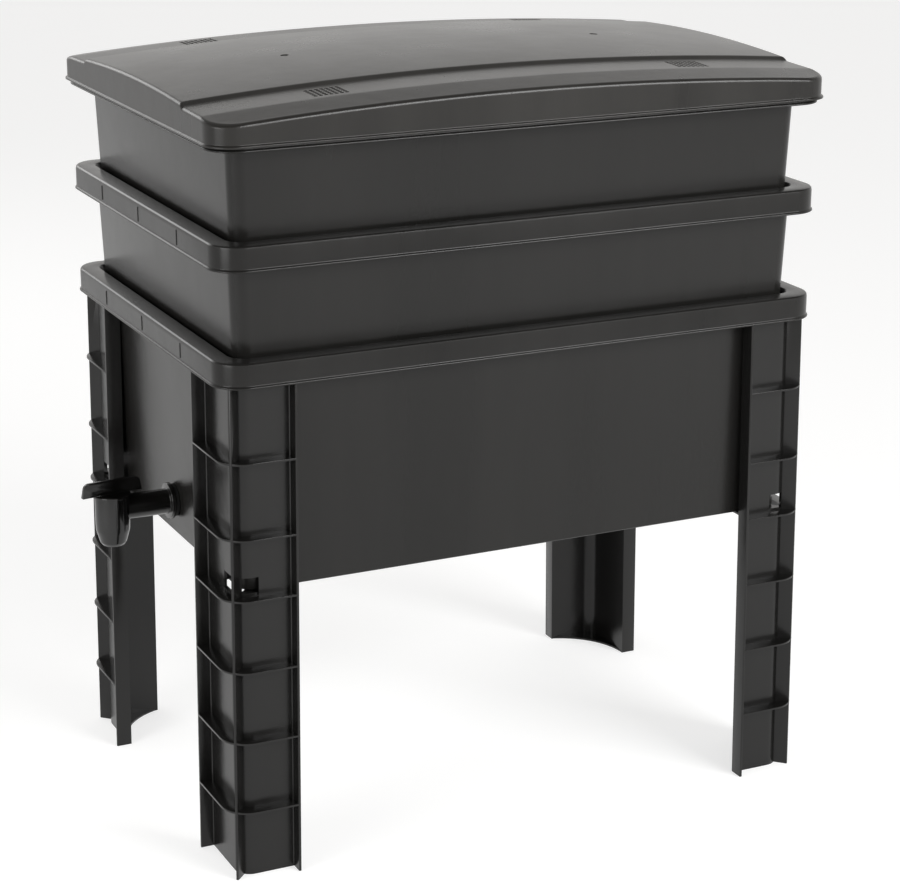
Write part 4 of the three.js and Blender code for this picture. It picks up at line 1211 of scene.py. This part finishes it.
# %% Grooves of the valve body
GROOVE_ANGLES = (-97.5, -67.5)
GROOVE_RADIUS = 16 * MM
GROOVE_DROP = 5.5 * MM
GROOVE_SIZE = (1.2 * MM, 0.9 * MM, 31 * MM)
grooves = start_piece("grooves")
for angle in GROOVE_ANGLES:
    turn_angle = math.radians(angle)
    place = (VALVE_X + GROOVE_RADIUS * math.cos(turn_angle),
             TAP_Y + GROOVE_RADIUS * math.sin(turn_angle), TAP_Z - GROOVE_DROP)
    bpy.ops.mesh.primitive_cube_add(size=1, location=place, rotation=(0, 0, turn_angle))
    bpy.ops.transform.resize(value=GROOVE_SIZE, orient_type="LOCAL")
leave_edit()
combine(tap_body, grooves, "DIFFERENCE")

# %% [markdown]
# The barrel, the flange and the tail through the wall are one turned shape. A cylinder as wide as
# the plug's bore cuts its start, so that nothing of it stands in the plug's way.

# %% Barrel, flange and tail
BARREL_START = 12.2 * MM
PLUG_BORE = 12 * MM
flange_end = TAP_REACH + TAP_FLANGE_THICKNESS
tail_end = TAP_WALL + TAP_TAIL_LENGTH - VALVE_X
barrel_corners = [
    (TAP_BORE / 2, BARREL_START, 0), (TAP_BARREL / 2, BARREL_START, 0),
    (TAP_BARREL / 2, TAP_REACH, 0.8 * MM), (TAP_FLANGE / 2, TAP_REACH, 0.8 * MM),
    (TAP_FLANGE / 2, flange_end, 0.8 * MM), (TAP_TAIL / 2, flange_end, 0.3 * MM),
    (TAP_TAIL / 2, tail_end, 0.6 * MM), (TAP_BORE / 2, tail_end, 0.5 * MM),
    (TAP_BORE / 2, BARREL_START, 0)]
barrel = turned("barrel", soften(barrel_corners))
lay_level(barrel, VALVE_X, TAP_Y, TAP_Z)
bore = rod("plug_bore", PLUG_BORE, 30 * MM, (VALVE_X, TAP_Y, TAP_Z - 3 * MM))
water_way = turned("water_way", [(TAP_BORE / 2, 0), (TAP_BORE / 2, 30 * MM)])
lay_level(water_way, VALVE_X, TAP_Y, TAP_Z)
combine(barrel, bore, "DIFFERENCE")
combine(tap_body, water_way, "DIFFERENCE")
combine(tap_body, barrel, "UNION")
close_and_smooth(tap_body)
dress(tap_body, tap_plastic, "stand", "tap_plastic", "tap_body")

# %% [markdown]
# The handle is one moulding: a plug inside the valve, a thin round cap over it, and a wing to turn
# it by, with a bead along its foot. The wing stands a few degrees off the barrel's line, as
# somebody left it.

# %% Tap handle
CAP_LOW = TAP_BODY_ABOVE + SEAT_GAP
CAP_TOP = CAP_LOW + TAP_CAP_THICKNESS
WING_LENGTH = 60 * MM
WING_HEIGHT = 13.6 * MM
WING_THICKNESS = 5 * MM
WING_FOOT = CAP_LOW + 1.8 * MM
WING_END_ROUND = 4.5 * MM
WING_ROUND = 0.5 * MM
BEAD_ROUND = 0.6 * MM
WING_SHORTER = 5 * MM
WING_THINNER = 0.8
FOOT_BEAD = 0.9 * MM
FOOT_RISE = 0.7 * MM
FOOT_SETBACK = 1.2 * MM

cap_corners = [
    (TAP_PLUG / 2, -TAP_PLUG_BELOW, 0), (TAP_PLUG / 2, CAP_LOW, 0.3 * MM),
    (TAP_CAP / 2, CAP_LOW, 0.3 * MM), (TAP_CAP / 2, CAP_TOP, 1.6 * MM), (2 * MM, CAP_TOP, 0)]
tap_handle = turned("tap_handle_fine", soften(cap_corners))

wing = start_piece("wing")
wing_middle = (0, 0, WING_FOOT + WING_HEIGHT / 2)
bpy.ops.mesh.primitive_cube_add(size=1, location=wing_middle)
bpy.ops.transform.resize(
    value=(WING_LENGTH, WING_THICKNESS, WING_HEIGHT), center_override=wing_middle)
select(wing, "VERT", lambda vert: vert.co.z > wing_middle[2])
bpy.ops.transform.resize(
    value=(1 - WING_SHORTER / WING_LENGTH, WING_THINNER, 1), center_override=wing_middle)
select(wing, "EDGE", lambda edge: all(vert.co.z > wing_middle[2] for vert in edge.verts)
       and abs(edge.verts[0].co.x - edge.verts[1].co.x) < MM)
bpy.ops.mesh.bevel(offset=WING_END_ROUND, offset_type="OFFSET", segments=8, affect="EDGES")
leave_edit()
soften_edges(wing, WING_ROUND, 40)
combine(tap_handle, wing, "UNION")
foot_x = TAP_CAP / 2 - FOOT_SETBACK
foot_y = WING_THICKNESS / 2 + FOOT_BEAD
foot = blocks("wing_foot", [(-foot_x, foot_x, -foot_y, foot_y, CAP_LOW + MM, CAP_TOP + FOOT_RISE)])
soften_edges(foot, BEAD_ROUND, 40, 3)
combine(tap_handle, foot, "UNION")
tap_handle.data.transform(Matrix.Rotation(TAP_TURN, 4, "Z"))
tap_handle.data.transform(Matrix.Translation((VALVE_X, TAP_Y, TAP_Z)))
close_and_smooth(tap_handle)
dress(tap_handle, tap_plastic, "tap_handle", "tap_plastic", "tap_handle")

# %% [markdown]
# The rubber washer is squeezed between the flange and the tank's wall, so its rim is round.

# %% Outer washer
washer_low, washer_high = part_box("tap_outer_washer")
washer_half = (washer_high.z - washer_low.z) / 2
washer_corners = [
    (TAP_TAIL / 2 + SEAT_GAP, 0, 0), (washer_half, 0, 0.8 * MM), (washer_half, WASHER, 0.8 * MM),
    (TAP_TAIL / 2 + SEAT_GAP, WASHER, 0.4 * MM), (TAP_TAIL / 2 + SEAT_GAP, 0, 0)]
outer_washer = turned("tap_outer_washer_fine", soften(washer_corners))
lay_level(outer_washer, FLANGE_BACK + SEAT_GAP, TAP_Y, TAP_Z)
dress(outer_washer, seal_rubber, "stand", "seal_rubber", "tap_outer_washer")

# %% [markdown]
# The ladder, the nut, the ring and the inner washer are hidden inside, and the frame's shapes are
# good enough for them. They only get a finish.

# %% Finishes for the frame's own nodes
def finish_node(node, material):
    """Gives a node of the frame a procedural finish."""
    obj = bpy.data.objects[node]
    obj.data.materials.clear()
    obj.data.materials.append(material)
    print(node, "has", material.name)


finish_node("worm_ladder", bin_plastic)
finish_node("tap_nut", tap_plastic)
finish_node("tap_o_ring", seal_rubber)
finish_node("tap_inner_washer", seal_rubber)

# %% [markdown]
# ## The overall size
# The dressed model has to fill the same box as the frame, so its size is printed.

# %% Sizes
low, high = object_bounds()
print("visual size", [round(top - bottom, 4) for bottom, top in zip(low, high)])
